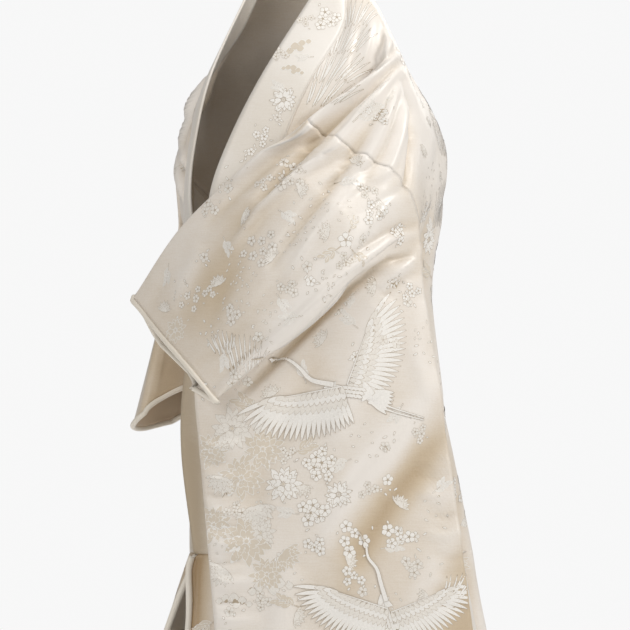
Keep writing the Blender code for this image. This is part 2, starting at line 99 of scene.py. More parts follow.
SHOULDER_LEFT = Row((8, -1, 139.5), (12.8, 0.3, 135.3), (16.6, -1, 129.8),
                    (15.9, -5.5, 126), (12.5, -11.5, 120.4))
BACK_LEFT = (
    Row((5.5, 4.6, 139), (10.6, 3.6, 134), (16.9, 1.4, 127.6), (19.8, -3.2, 123.4),
        (19.5, -8.6, 116.6)),
    Row((0, 8.2, 136.8), (8.6, 7, 130.6), (15.2, 5.2, 124.4), (20.2, 0.2, 119),
        (22.7, -3.3, 113)),
    Row((0, 15.4, 122.4), (8.8, 14, 120.8), (14, 9.6, 118.4), (18, 4, 114.5),
        (21.4, 0, 108.5)),
    Row((0, 17.2, 114.6), (9.2, 15, 114), (14.2, 9.8, 113), (17.2, 4.8, 109.5),
        (18.2, 1.6, 107)),
)
FRONT_LEFT = (
    Row((10.3, -3, 133.2), (13.4, -4, 129.8), (15.2, -1.6, 125.8), (16, -5.4, 121.2),
        (13.6, -9.6, 117)),
    Row((10.5, -8.8, 126), (13.2, -7.8, 122), (16.2, -3.2, 119.5), (17, -5.2, 116.4),
        (15.2, -8.2, 113.2)),
    Row((9.5, -12, 119), (12.4, -9.9, 116), (15.2, -5.4, 113.5), (16.8, -3.8, 111.6),
        (18, -4.4, 109.6)),
    Row((8.3, -14, 111), (11.6, -11.2, 110), (14.6, -6.6, 108.5), (16.2, -2.8, 107.8),
        (17.2, 0, 107)),
)
SHOULDER_RIGHT = Row((8, -1, 139.5), (13, 0.3, 135.3), (17.8, 0, 129.5),
                     (20.8, -1.5, 124), (21, -4, 116.5))
BACK_RIGHT = (
    Row((5.5, 4.6, 139), (10.6, 3.6, 134), (16.6, 1.2, 127.9), (22, 0.5, 122),
        (22.7, -1.8, 114.5)),
    Row((0, 8.2, 136.8), (8.6, 7, 130.6), (15.2, 5.2, 124.4), (20.4, 2.6, 118.8),
        (22.5, 1.5, 112)),
    Row((0, 15.4, 122.4), (8.8, 14, 120.8), (14, 9.6, 118.4), (17.8, 5.6, 114.5),
        (20.2, 3.8, 109.4)),
    Row((0, 17.2, 114.6), (9.2, 15, 114), (14.2, 9.8, 112), (17, 5, 109),
        (18, 2.8, 107.2)),
)
FRONT_RIGHT = (
    Row((10.3, -3, 133.2), (12.8, -3.6, 130.8), (16.6, -3.2, 127), (19.6, -3.8, 121.5),
        (20.1, -6, 115.4)),
    Row((10.5, -8.8, 126), (12.8, -8.2, 124), (15.6, -6.6, 121), (17.9, -6.2, 117.2),
        (19, -6.4, 114)),
    Row((9.5, -12, 119), (12, -11.3, 117), (14.6, -9, 114.5), (16.5, -6.2, 113),
        (17.9, -4.2, 112.6)),
    Row((8.3, -14, 111), (10.9, -12.6, 110), (13.2, -9.6, 109), (14.9, -5.4, 108),
        (17, -0.4, 108.4)),
)


class Section(NamedTuple):
    """The half section of the hanging body at one height, from the centre back to the front.

    A fullness of 1 makes the front an arc and one of 2 a straight run. Collar and okumi are
    widths along the front.
    """

    height: float
    side_x: float
    side_y: float
    back_y: float
    left_x: float
    left_y: float
    right_x: float
    right_y: float
    fullness: float
    collar: float
    okumi: float


SECTIONS = (
    Section(105, 16, 0, 16.2, 1, -18, 1, -18, 1.35, 6.6, 0),
    Section(98, 16, 0.2, 15.2, 0.2, -18.4, 0.2, -17.4, 1.35, 6.6, 2.2),
    Section(88.6, 16.3, 0.4, 16.4, -0.4, -20.5, -0.6, -18.9, 1.45, 6.6, 4.4),
    Section(79, 17, 0.8, 18.4, -0.5, -20.9, -0.8, -19.3, 1.55, 6.4, 6.6),
    Section(66, 18.4, 1.4, 20.8, 0.7, -19.8, 0.6, -18.2, 1.55, 5.4, 9.6),
    Section(65.5, 18.5, 1.5, 20.9, 1, -19.9, 0.9, -18.3, 1.55, 0, 15),
    Section(55.7, 19.6, 2.4, 22.6, 1.9, -21.4, 2.4, -21.9, 1.60, 0, 15),
    Section(30, 22.6, 6.5, 29, 4, -27.5, 4.4, -30.5, 1.75, 0, 15),
    Section(12, 25.6, 11.5, 38, 6.2, -32.5, 7, -35.5, 1.85, 0, 15),
    Section(4, 27.6, 15.5, 48, 7.4, -35.5, 8.4, -38.5, 1.85, 0, 15),
    Section(1.7, 29.2, 18.5, 58, 8.2, -37.5, 9.4, -40.5, 1.85, 0, 15),
)


class Fold(NamedTuple):
    """A fold down the hanging body.

    Place and width are shares of the way from the centre back to the front edge, and top is
    the height of the fold's upper end.
    """

    place: float
    width: float
    depth: float
    top: float


FOLDS_LEFT = (
    Fold(0.10, 0.055, 1.5, 98), Fold(0.21, 0.065, -1.7, 90), Fold(0.32, 0.055, 1.7, 84),
    Fold(0.43, 0.060, -1.3, 72), Fold(0.56, 0.055, 1.2, 64), Fold(0.74, 0.050, -1.2, 62),
    Fold(0.90, 0.045, 1, 66),
)
FOLDS_RIGHT = (
    Fold(0.08, 0.055, -1.4, 92), Fold(0.19, 0.055, 1.8, 98), Fold(0.30, 0.065, -1.5, 80),
    Fold(0.41, 0.055, 1.4, 86), Fold(0.53, 0.060, -1.2, 68), Fold(0.68, 0.055, 1.2, 66),
    Fold(0.84, 0.050, -1.1, 70),
)


class Station(NamedTuple):
    """Places round a sleeve bag: up the outer layer, over the ridge, down the inner layer.

    A sleeve's stations go from the armhole to the mouth.
    """

    low: Point
    hang: Point
    drop: Point
    tuck: Point
    crease: Point
    belly: Point
    upper: Point
    ridge: Point
    in_upper: Point
    in_belly: Point
    in_crease: Point
    in_tuck: Point
    in_drop: Point
    in_hang: Point


SLEEVE_LEFT = (
    Station((34, 3.4, 12), (28.8, 2.8, 55.7), (25.3, 0.6, 85.4), (22.8, -0.4, 99.6),
            (21.4, 0, 108.5), (22.7, -3.3, 113), (19.5, -8.6, 116.6), (12.5, -11.5, 120.4),
            (13.6, -9.6, 117), (15.2, -8.2, 113.2), (18.6, -5.4, 109.2), (19.9, -3.6, 101),
            (23.2, -0.6, 85.4), (26.4, 2, 55.7)),
    Station((30, -4.9, 12), (24, -5.9, 55.7), (19.6, -8.9, 97), (19.6, -9.4, 101.6),
            (21.8, -10.6, 101.6), (21, -13, 108), (15.6, -15.1, 112.5), (8.5, -16, 116),
            (8.6, -14.9, 113.6), (11.2, -13.6, 109), (14.2, -11, 104.4), (16.6, -8.6, 99),
            (17.9, -7.6, 91), (22, -4.6, 55.7)),
    Station((22.8, -13.8, 12), (17.2, -14.2, 55.7), (13.7, -15.9, 89), (13.6, -16, 94.4),
            (16.2, -17.8, 93.8), (14.1, -20, 98.4), (7.8, -20.6, 103.7), (0.4, -20.9, 107.8),
            (-0.2, -20.2, 105.6), (1.6, -19.6, 101), (5.8, -17.2, 96.2), (10.4, -13.6, 91.4),
            (12.2, -13.2, 87), (15.2, -12.4, 55.7)),
    Station((14.4, -22.8, 12), (8.3, -22.5, 55.7), (5, -23.1, 84.8), (4.9, -23.2, 87.4),
            (9.9, -23.4, 85.6), (5.6, -24, 89.5), (-1.1, -23.6, 94), (-7.6, -22.9, 98.3),
            (-8, -21.9, 96), (-4.4, -21.6, 91.6), (1.4, -21.7, 88.6), (4.2, -22.4, 87.2),
            (4.3, -22.3, 84.8), (7.5, -21.8, 55.7)),
)
SLEEVE_RIGHT = (
    Station((29.8, 20, 14), (26, 14, 55), (21.4, 9.6, 94), (20.2, 6.2, 102.5),
            (20.2, 3.8, 109.4), (22.5, 1.5, 112), (22.7, -1.8, 114.5), (21, -4, 116.5),
            (20.1, -6, 115.4), (19, -6.4, 114), (18.9, -4.4, 111.6), (18.9, 1.4, 104),
            (19.2, 7.4, 94), (24, 13.2, 55)),
    Station((30, 12, 13.3), (26.7, 9, 55), (21.6, 7.4, 88), (22, 5.2, 95),
            (22.8, 2, 99), (22.6, -2, 102.2), (20.8, -4.6, 104.8), (18.8, -6.6, 106.4),
            (18.2, -6.6, 104.8), (18.1, -4.6, 101.6), (18.5, -1.2, 98.4), (19, 2.6, 94.2),
            (20, 6.2, 88), (24.2, 8.2, 55)),
    Station((28.8, 4, 12.6), (25.2, 3.4, 55), (21.2, 3.2, 83), (21.8, 1.6, 87.6),
            (22.8, -2.4, 90), (21.8, -6.8, 91.8), (19.2, -9.8, 93.8), (16.6, -11.2, 95.4),
            (15.5, -10.2, 94), (15.2, -7.4, 92.8), (16, -2.8, 91.6), (17.4, 1.4, 89.2),
            (19, 3, 83), (22.2, 2.2, 55)),
    Station((27.2, -5, 12), (23.6, -2.4, 55), (20.3, -1.5, 82.6), (20.2, -1.6, 85),
            (22.4, -5, 82.6), (21.8, -9.8, 81.8), (18.6, -14.2, 82.2), (14.4, -15.9, 83.8),
            (13.6, -13.2, 85.2), (13.8, -9.6, 86.6), (15.6, -4.6, 87.2), (19.2, -1.5, 85),
            (19.3, -1.4, 82.6), (22.6, -2.3, 55)),
)

SIDE_SHARE = 0.42
FRONT_SHARE = 0.80
FOLD_RUN = 34.0
SPAN_STEP = 0.0070
UPPER_STEPS = 17
# The share of a crease's height that is painted into the satin's colour as painted shade or painted
# highlight.
PAINTED_SHADING_SHARE = 0.5
CREASE_FACING = (0.05, 0.25)
UPPER_SPANS = 4
BODY_COLUMNS = 56
OKUMI_COLUMNS = 22
NECK_SPANS = 2
COLLAR_SPANS = 9
COLLAR_COLUMNS = 10
OKUMI_FIRST_SPAN = 5
SLEEVE_COLUMNS = 66
BAG_BOTTOM = 0.012
BAG_PLACES = 14
DROP_PLACE = 2
TUCK_PLACE = 3
CREASE_PLACE = 5
RIDGE_PLACE = 7
INNER_CREASE_PLACE = 9
INNER_TUCK_PLACE = 11
BACK_SEAM_SPANS = 3
FRONT_SEAM_SPANS = 2
COLLAR_FOLD = ((0, 8.2, 143.9), (4.4, 5.6, 143.9), (6.9, -1.3, 142.6), (6.6, -5.8, 136.5),
               (5.2, -12.3, 127), (3.4, -16.2, 118.8), (2, -18.2, 112))
COLLAR_SECTIONS = 5


def placed(points: Sequence, side: Side) -> np.ndarray:
    """Turn table points into metres from the shoulders, on the wearer's side.

    Args:
        points: Points in centimetres above the floor, with x out to the side.
        side: The wearer's side.

    Returns:
        The points as an array whose last axis is x, y, z in metres.
    """
    array = np.array(points, float)
    array[..., 0] *= side.value
    array[..., 2] -= HOLD_HEIGHT
    return array * CM


def smooth_curve(points: np.ndarray, shares: np.ndarray) -> np.ndarray:
    """Return points of the smooth curves through points along the first axis.

    Args:
        points: Control points, with any further axes behind the first.
        shares: How far along the curves to go, from 0 to 1.

    Returns:
        One row for each share, shaped as the control points behind the first axis.
    """
    last = len(points) - 1
    ends = (2 * points[:1] - points[1:2], points, 2 * points[-1:] - points[-2:-1])
    padded = np.concatenate(ends)
    along = np.clip(shares, 0.0, 1.0) * last
    index = np.minimum(along.astype(int), last - 1)
    t = (along - index).reshape((-1,) + (1,) * (points.ndim - 1))
    p0, p1, p2, p3 = (padded[index + step] for step in range(4))
    bend = 2 * p0 - 5 * p1 + 4 * p2 - p3
    twist = 3 * (p1 - p2) + p3 - p0
    return 0.5 * (2 * p1 + (p2 - p0) * t + bend * t ** 2 + twist * t ** 3)


def linked(name: str, data: ID) -> Object:
    """Return a new object of the scene that shows a mesh, a lamp or a camera."""
    made = bpy.data.objects.new(name, data)
    bpy.context.scene.collection.objects.link(made)
    return made


def view_axes(azimuth: float) -> tuple[Vector, Vector]:
    """Return the directions across a view and from the cloth towards its eye."""
    turn = radians(azimuth)
    return (Vector((cos(turn), sin(turn), 0.0)),
            Vector((sin(turn), -cos(turn), 0.0)))


def unit(vectors: np.ndarray) -> np.ndarray:
    """Return vectors along the last axis at a length of one."""
    length = np.linalg.norm(vectors, axis=-1, keepdims=True)
    return vectors / np.maximum(length, 1e-12)


def section_point(section: Section, side: Side, share: float) -> np.ndarray:
    """Return a point of a body section, from the centre back round to the front edge."""
    if side is Side.LEFT:
        front_x, front_y = section.left_x, section.left_y
    else:
        front_x, front_y = section.right_x, section.right_y
    if share <= SIDE_SHARE:
        turn = share / SIDE_SHARE * pi / 2
        x = section.side_x * sin(turn)
        y = section.side_y + (section.back_y - section.side_y) * cos(turn)
    else:
        turn = (share - SIDE_SHARE) / (1 - SIDE_SHARE) * pi / 2
        x = front_x + (section.side_x - front_x) * max(cos(turn), 0.0) ** section.fullness
        y = section.side_y + (front_y - section.side_y) * sin(turn) ** section.fullness
    return placed((x, y, section.height), side)


def seam_share(section: Section, side: Side, width: float) -> float:
    """Return the share along the section that lies a width in from the front edge."""
    share, step, run = 1.0, 0.002, 0.0
    last = section_point(section, side, share)
    while run < width * CM:
        share -= step
        here = section_point(section, side, share)
        run += float(np.linalg.norm(here - last))
        last = here
    return share


def folded(grid: np.ndarray, side: Side, shares: np.ndarray) -> np.ndarray:
    """Move points of the hanging body out or in by the folds that pass them.

    Args:
        grid: Points in rows down the body.
        side: The wearer's side.
        shares: Each column's share from the centre back to the front edge.

    Returns:
        The moved points.
    """
    height = grid[..., 2] / CM + HOLD_HEIGHT
    move = np.zeros(grid.shape[:2])
    for fold in FOLDS_LEFT if side is Side.LEFT else FOLDS_RIGHT:
        reach = np.clip((fold.top - height) / FOLD_RUN, 0.0, 1.0)
        near = (shares - fold.place) / fold.width
        move += fold.depth * reach ** 2 * (3 - 2 * reach) * np.exp(-near ** 2)
    outward = grid * LEVEL
    return grid + unit(outward) * move[..., None] * CM


def wall_normals(grid: np.ndarray, outward: np.ndarray) -> np.ndarray:
    """Return the unit normal at each point of a grid, on the cloth's outer side.

    Args:
        grid: Points in rows and columns.
        outward: A rough outward direction at each point, or one for all.

    Returns:
        The normals, shaped as the grid.
    """
    down = np.gradient(grid, axis=0)
    across = np.gradient(grid, axis=1)
    normals = unit(np.cross(down, across))
    vote = float(np.sum(normals * outward))
    return normals if vote >= 0.0 else -normals


def softened(grid: np.ndarray, rounds: int, keep: np.ndarray) -> np.ndarray:
    """Smooth a grid of points, each by its own share, with its border left in place.

    Args:
        grid: Points in rows and columns.
        rounds: How many times each point moves to its neighbours' mean.
        keep: For each point, the share of each move that is left out.

    Returns:
        The smoothed grid.
    """
    soft = grid.copy()
    weight = (1.0 - keep)[1:-1, 1:-1, None] * 0.5
    for _ in range(rounds):
        near = (soft[:-2, 1:-1] + soft[2:, 1:-1] + soft[1:-1, :-2] + soft[1:-1, 2:]) / 4
        soft[1:-1, 1:-1] += (near - soft[1:-1, 1:-1]) * weight
    return soft


class Crease(NamedTuple):
    """A soft ridge, or a trough where its height is negative, as one view shows it."""

    azimuth: float
    places: tuple[Pair, ...]
    width: float
    height: float


def photo_place(x: float, y: float) -> Pair:
    """Return how far across and up the main view a dot of its picture lies."""
    return (x - PHOTO_AXIS) / PHOTO_DOTS, PHOTO_TOP - y / PHOTO_DOTS


def view_creases(azimuth: float, *rows: tuple[float, ...]) -> tuple[Crease, ...]:
    """Return creases as one view shows them.

    Args:
        azimuth: The view's azimuth.
        rows: For each its places, across and up in turn, then its width and its height.

    Returns:
        The creases.
    """
    return tuple(Crease(azimuth, tuple(zip(row[:-2:2], row[1:-2:2])), *row[-2:]) for row in rows)


def photo_creases(*rows: tuple[float, ...]) -> tuple[Crease, ...]:
    """Return creases of the main view, their places and widths in that picture's dots."""
    creases = []
    for crease in view_creases(PHOTO_AZIMUTH, *rows):
        spots = tuple(photo_place(x, y) for x, y in crease.places)
        creases.append(crease._replace(places=spots, width=crease.width / PHOTO_DOTS))
    return tuple(creases)


def crease_heights(grid: np.ndarray, normals: np.ndarray, creases: Iterable[Crease],
                   edges: Pair = (0.0, 0.0)) -> np.ndarray:
    """Return how far the creases that pass a grid's points raise them, in centimetres.

    Args:
        grid: Points in rows and columns.
        normals: The outward unit normal at each point.
        creases: The creases of this piece, their widths and heights in centimetres.
        edges: Columns at the first and the last border over which the creases fade out.

    Returns:
        The height at each point.
    """
    move = np.zeros(grid.shape[:2])
    for crease in creases:
        turn = radians(crease.azimuth)
        right = np.array((cos(turn), sin(turn), 0.0))
        toward = np.array((sin(turn), -cos(turn), 0.0))
        across = grid @ right / CM
        up = grid[..., 2] / CM + HOLD_HEIGHT
        facing = np.clip((normals @ toward - CREASE_FACING[0]) / CREASE_FACING[1], 0.0, 1.0)
        spots = np.array(crease.places, float)
        runs = np.linalg.norm(np.diff(spots, axis=0), axis=1)
        total = runs.sum()
        near = np.full(move.shape, 1e9)
        along = np.zeros(move.shape)
        start = 0.0
        for (x0, y0), (x1, y1), run in zip(spots[:-1], spots[1:], runs):
            t = ((across - x0) * (x1 - x0) + (up - y0) * (y1 - y0)) / run ** 2
            t = np.clip(t, 0.0, 1.0)
            gap = np.hypot(across - x0 - t * (x1 - x0), up - y0 - t * (y1 - y0))
            closer = gap < near
            near = np.where(closer, gap, near)
            along = np.where(closer, (start + t * run) / total, along)
            start += run
        taper = np.sin(np.clip(along, 0.0, 1.0) * pi) ** 0.6
        move += crease.height * taper * facing * np.exp(-(near / crease.width) ** 2)
    count = np.arange(grid.shape[1])
    for edge, rim in zip(edges, (count, count[::-1])):
        if edge:
            move *= np.clip(rim / edge, 0.0, 1.0)
    return move


@dataclass
class Cloth:
    """One sheet of cloth: grids of points made into a closed thin shell.

    Attributes:
        name: The piece's name.
        node: The solid that it stands for.
        slot: The name of its material slot.
        wall: The cloth's thickness in metres.
        flat: The width and length of what shows, cut flat, in metres. Not used.
        rests_on: The pieces or solids that it hangs from or lies on. Not used.
        area: The flat area in square metres where the cut isn't a rectangle. Not used.
        extras: The pieces that go with the sheet.
    """

    name: str
    node: str
    slot: str
    wall: float
    flat: Pair
    held: str = "hung"
    rests_on: tuple[str, ...] = ()
    area: float | None = None
    extras: list[Object] = field(default_factory=list)

    def build(self, grids: Sequence[np.ndarray], outward: np.ndarray | None,
              material: Material,
              painted_shadings: Sequence[np.ndarray] = ()) -> Object:
        """Make the sheet from its grids, which share their joined edges.

        Args:
            grids: Grids of points, in rows and columns.
            outward: The middle that the faces look away from, or None for the body's axis.
            material: The cloth's material.
            painted_shadings: For each grid, its painted shading at each point: painted shade in
                crease troughs and shade bands, painted highlights on ridges and light bands.

        Returns:
            The sheet's object.
        """
        mesh = bpy.data.meshes.new(self.name)
        points, faces, laid = [], [], []
        for grid in grids:
            rows, columns = grid.shape[:2]
            start = len(points)
            points += [tuple(point) for point in grid.reshape(-1, 3)]
            down = np.linalg.norm(np.diff(grid, axis=0), axis=2).mean(axis=1)
            across = np.linalg.norm(np.diff(grid, axis=1), axis=2).mean(axis=0)
            v = np.concatenate(([0.0], np.cumsum(down)))
            u = np.concatenate(([0.0], np.cumsum(across)))
            for row in range(rows - 1):
                for column in range(columns - 1):
                    a = start + row * columns + column
                    faces.append((a, a + 1, a + 1 + columns, a + columns))
                    laid += [(u[column], -v[row]), (u[column + 1], -v[row]),
                             (u[column + 1], -v[row + 1]), (u[column], -v[row + 1])]
        mesh.from_pydata(points, [], faces)
        mesh.update()
        layer = mesh.uv_layers.new(name="weave")
        layer.data.foreach_set("uv", np.array(laid, np.float32).ravel())
        # The nap attribute carries painted shade and painted highlights into the satin's colour.
        nap = mesh.attributes.new("nap", "FLOAT", "POINT")
        if painted_shadings:
            nap.data.foreach_set("value", np.concatenate([each.ravel() for each in painted_shadings]))
        body = bmesh.new()
        body.from_mesh(mesh)
        bmesh.ops.remove_doubles(body, verts=body.verts, dist=0.00002)
        self.turn_outward(body, outward)
        for face in body.faces:
            face.smooth = True
        body.to_mesh(mesh)
        body.free()
        mesh.materials.append(material)
        sheet = linked(self.name, mesh)
        solid = sheet.modifiers.new("wall", "SOLIDIFY")
        solid.thickness = self.wall
        solid.offset = -1.0
        solid.use_even_offset = False
        return sheet

    @staticmethod
    def turn_outward(body: bmesh.types.BMesh, middle: np.ndarray | None) -> None:
        """Make the faces of an open surface look away from its middle."""
        bmesh.ops.recalc_face_normals(body, faces=body.faces)
        vote = 0.0
        for face in body.faces:
            centre = face.calc_center_median()
            away = centre - (Vector((0.0, 0.0, centre.z)) if middle is None else Vector(middle))
            vote += face.normal.dot(away) * face.calc_area()
        if vote < 0.0:
            bmesh.ops.reverse_faces(body, faces=body.faces)

    def brocaded(self, sheet: Object, figures: Sequence["Figure"],
                 satins: dict) -> None:
        """Lay woven figures on the sheet, as a piece that goes with it."""
        if figures:
            name = self.name.replace("silk_", "figures_")
            self.extras.append(Brocade(name, self.slot).build(sheet, figures, satins))

    def declare(self, sheet: Object) -> None:
        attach(sheet, "root")
        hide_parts(self.node)
        LOG.info("%s: %d faces", self.name, len(sheet.data.polygons))


@dataclass
class BodyLength:
    """One body length with its overlap panel, from the back hem over the shoulder.

    Attributes:
        side: The wearer's side.
        creases: Creases of the body length.
        okumi_creases: Creases of the overlap panel.
        painted_shades: Bands of painted shade, or of painted light where their height is positive,
            without a crease.
        rounds: Smoothing rounds of the body length.
    """

    side: Side
    creases: tuple[Crease, ...] = ()
    okumi_creases: tuple[Crease, ...] = ()
    painted_shades: tuple[Crease, ...] = ()
    rounds: int = 14

    def nets(self) -> dict[str, np.ndarray]:
        """Return the control nets of the back, the front and the overlap panel."""
        left = self.side is Side.LEFT
        shoulder = SHOULDER_LEFT if left else SHOULDER_RIGHT
        back_rows = BACK_LEFT if left else BACK_RIGHT
        front_rows = FRONT_LEFT if left else FRONT_RIGHT
        back = [placed(row, self.side) for row in (shoulder, *back_rows)]
        front = [placed(row, self.side) for row in (shoulder, *front_rows)]
        okumi = [placed([row.inner] * 3, self.side) for row in (shoulder, *front_rows)]
        for section in SECTIONS:
            edge = seam_share(section, self.side, section.collar)
            seam = seam_share(section, self.side, section.collar + section.okumi)
            back.append(self.arc(section, 0.0, SIDE_SHARE, 5))
            front.append(self.arc(section, seam, SIDE_SHARE, 5))
            okumi.append(self.arc(section, edge, seam, 3))
        return {"back": np.array(back), "front": np.array(front), "okumi": np.array(okumi)}

    def arc(self, section: Section, start: float, end: float, count: int) -> np.ndarray:
        """Return points of a body section at even shares from start to end."""
        shares = np.linspace(start, end, count)
        return np.array([section_point(section, self.side, share) for share in shares])

    def lay_out(self) -> None:
        """Work out the rows and the bare grids of the back, the front and the overlap panel."""
        nets = self.nets()
        runs = np.max([np.linalg.norm(np.diff(net, axis=0), axis=2).max(axis=1)
                       for net in nets.values()], axis=0)
        self.starts = [0]
        shares = []
        for span, run in enumerate(runs):
            steps = UPPER_STEPS if span < UPPER_SPANS else max(2, ceil(run / SPAN_STEP))
            shares += [(span + step / steps) / len(runs) for step in range(steps)]
            self.starts.append(len(shares))
        self.down = np.array(shares + [1.0])
        ranges = {"back": (0.0, SIDE_SHARE, BODY_COLUMNS),
                  "front": (FRONT_SHARE, SIDE_SHARE, BODY_COLUMNS),
                  "okumi": (1.0, FRONT_SHARE, OKUMI_COLUMNS)}
        self.grids = {}
        for panel, (start, end, columns) in ranges.items():
            across = np.linspace(0.0, 1.0, columns + 1)
            rows = smooth_curve(nets[panel], self.down)
            grid = smooth_curve(rows.transpose(1, 0, 2), across).transpose(1, 0, 2)
            self.grids[panel] = folded(grid, self.side, start + (end - start) * across)

    def creased(self, grid: np.ndarray, creases: Iterable[Crease],
                edges: Pair) -> tuple[np.ndarray, np.ndarray]:
        """Raise a bare grid to the cloth's outer side, with its creases.

        Args:
            grid: The bare grid.
            creases: Its creases.
            edges: Columns at both borders over which the creases fade out.

        Returns:
            The raised grid, and its painted shading at each point: painted shade in troughs and
            shade bands, painted highlights on ridges and light bands.
        """
        normals = wall_normals(grid, grid * LEVEL)
        nap = crease_heights(grid, normals, creases, edges)
        raised = grid + normals * (nap[..., None] * CM + WALL)
        # Part of each crease's height is painted into the colour, painted shade in troughs and
        # painted highlights on ridges, together with the painted shade bands.
        return raised, nap * PAINTED_SHADING_SHARE + crease_heights(raised, normals, self.painted_shades)

    def shape(self) -> None:
        """Join the panels' grids where they are sewn together, and crease them."""
        self.lay_out()
        back, front, okumi = (self.grids[panel] for panel in ("back", "front", "okumi"))
        sign = self.side.value
        back[:, 0, 0] = sign * np.maximum(sign * back[:, 0, 0], 0.0)
        armhole = self.starts[UPPER_SPANS]
        front[armhole + 1:, -1] = back[armhole + 1:, -1]
        self.okumi_start = self.starts[OKUMI_FIRST_SPAN] + 1
        front[:self.okumi_start, 0] = okumi[:self.okumi_start, 0]
        front[0, 0] = back[0, 0]
        length = np.concatenate((back[::-1], front[1:]))
        length = softened(length, self.rounds, np.zeros(length.shape[:2]))
        length, self.nap = self.creased(length, self.creases, (4.0, 0.0))
        count = len(back)
        for row in range(armhole + 1, count):
            joined = (length[count - 1 - row, -1] + length[count - 1 + row, -1]) / 2
            length[count - 1 - row, -1] = length[count - 1 + row, -1] = joined
        self.grids["back"] = length[:count][::-1]
        self.grids["front"] = length[count - 1:]
        self.length = length
        self.okumi, self.okumi_nap = self.creased(okumi[self.okumi_start:], self.okumi_creases,
                                                  (2.0, 2.0))
        self.okumi[:, -1] = self.grids["front"][self.okumi_start:, 0]

    def build(self, silk: Material, satins: dict) -> None:
        """Build the body length and the overlap panel.

        Args:
            silk: The material of both.
            satins: The materials of their woven figures.
        """
        word = self.side.word
        body = Cloth(f"silk_body_{word}", f"body_{word}", "silk_damask", WALL,
                     flat=(0.31, 3.55), rests_on=("collar",), area=0.95)
        panel = Cloth(f"silk_okumi_{word}", f"okumi_{word}", "silk_damask", WALL,
                      flat=(0.15, 1.18), rests_on=(f"body_{word}",))
        made = [body.build((self.length,), None, silk, (self.nap,)),
                panel.build((self.okumi,), None, silk, (self.okumi_nap,))]
        left = self.side is Side.LEFT
        laid = (body_left_figures() if left else body_right_figures(), okumi_figures(self.side))
        for cloth, sheet, figures in zip((body, panel), made, laid):
            cloth.brocaded(sheet, figures, satins)
            cloth.declare(sheet)


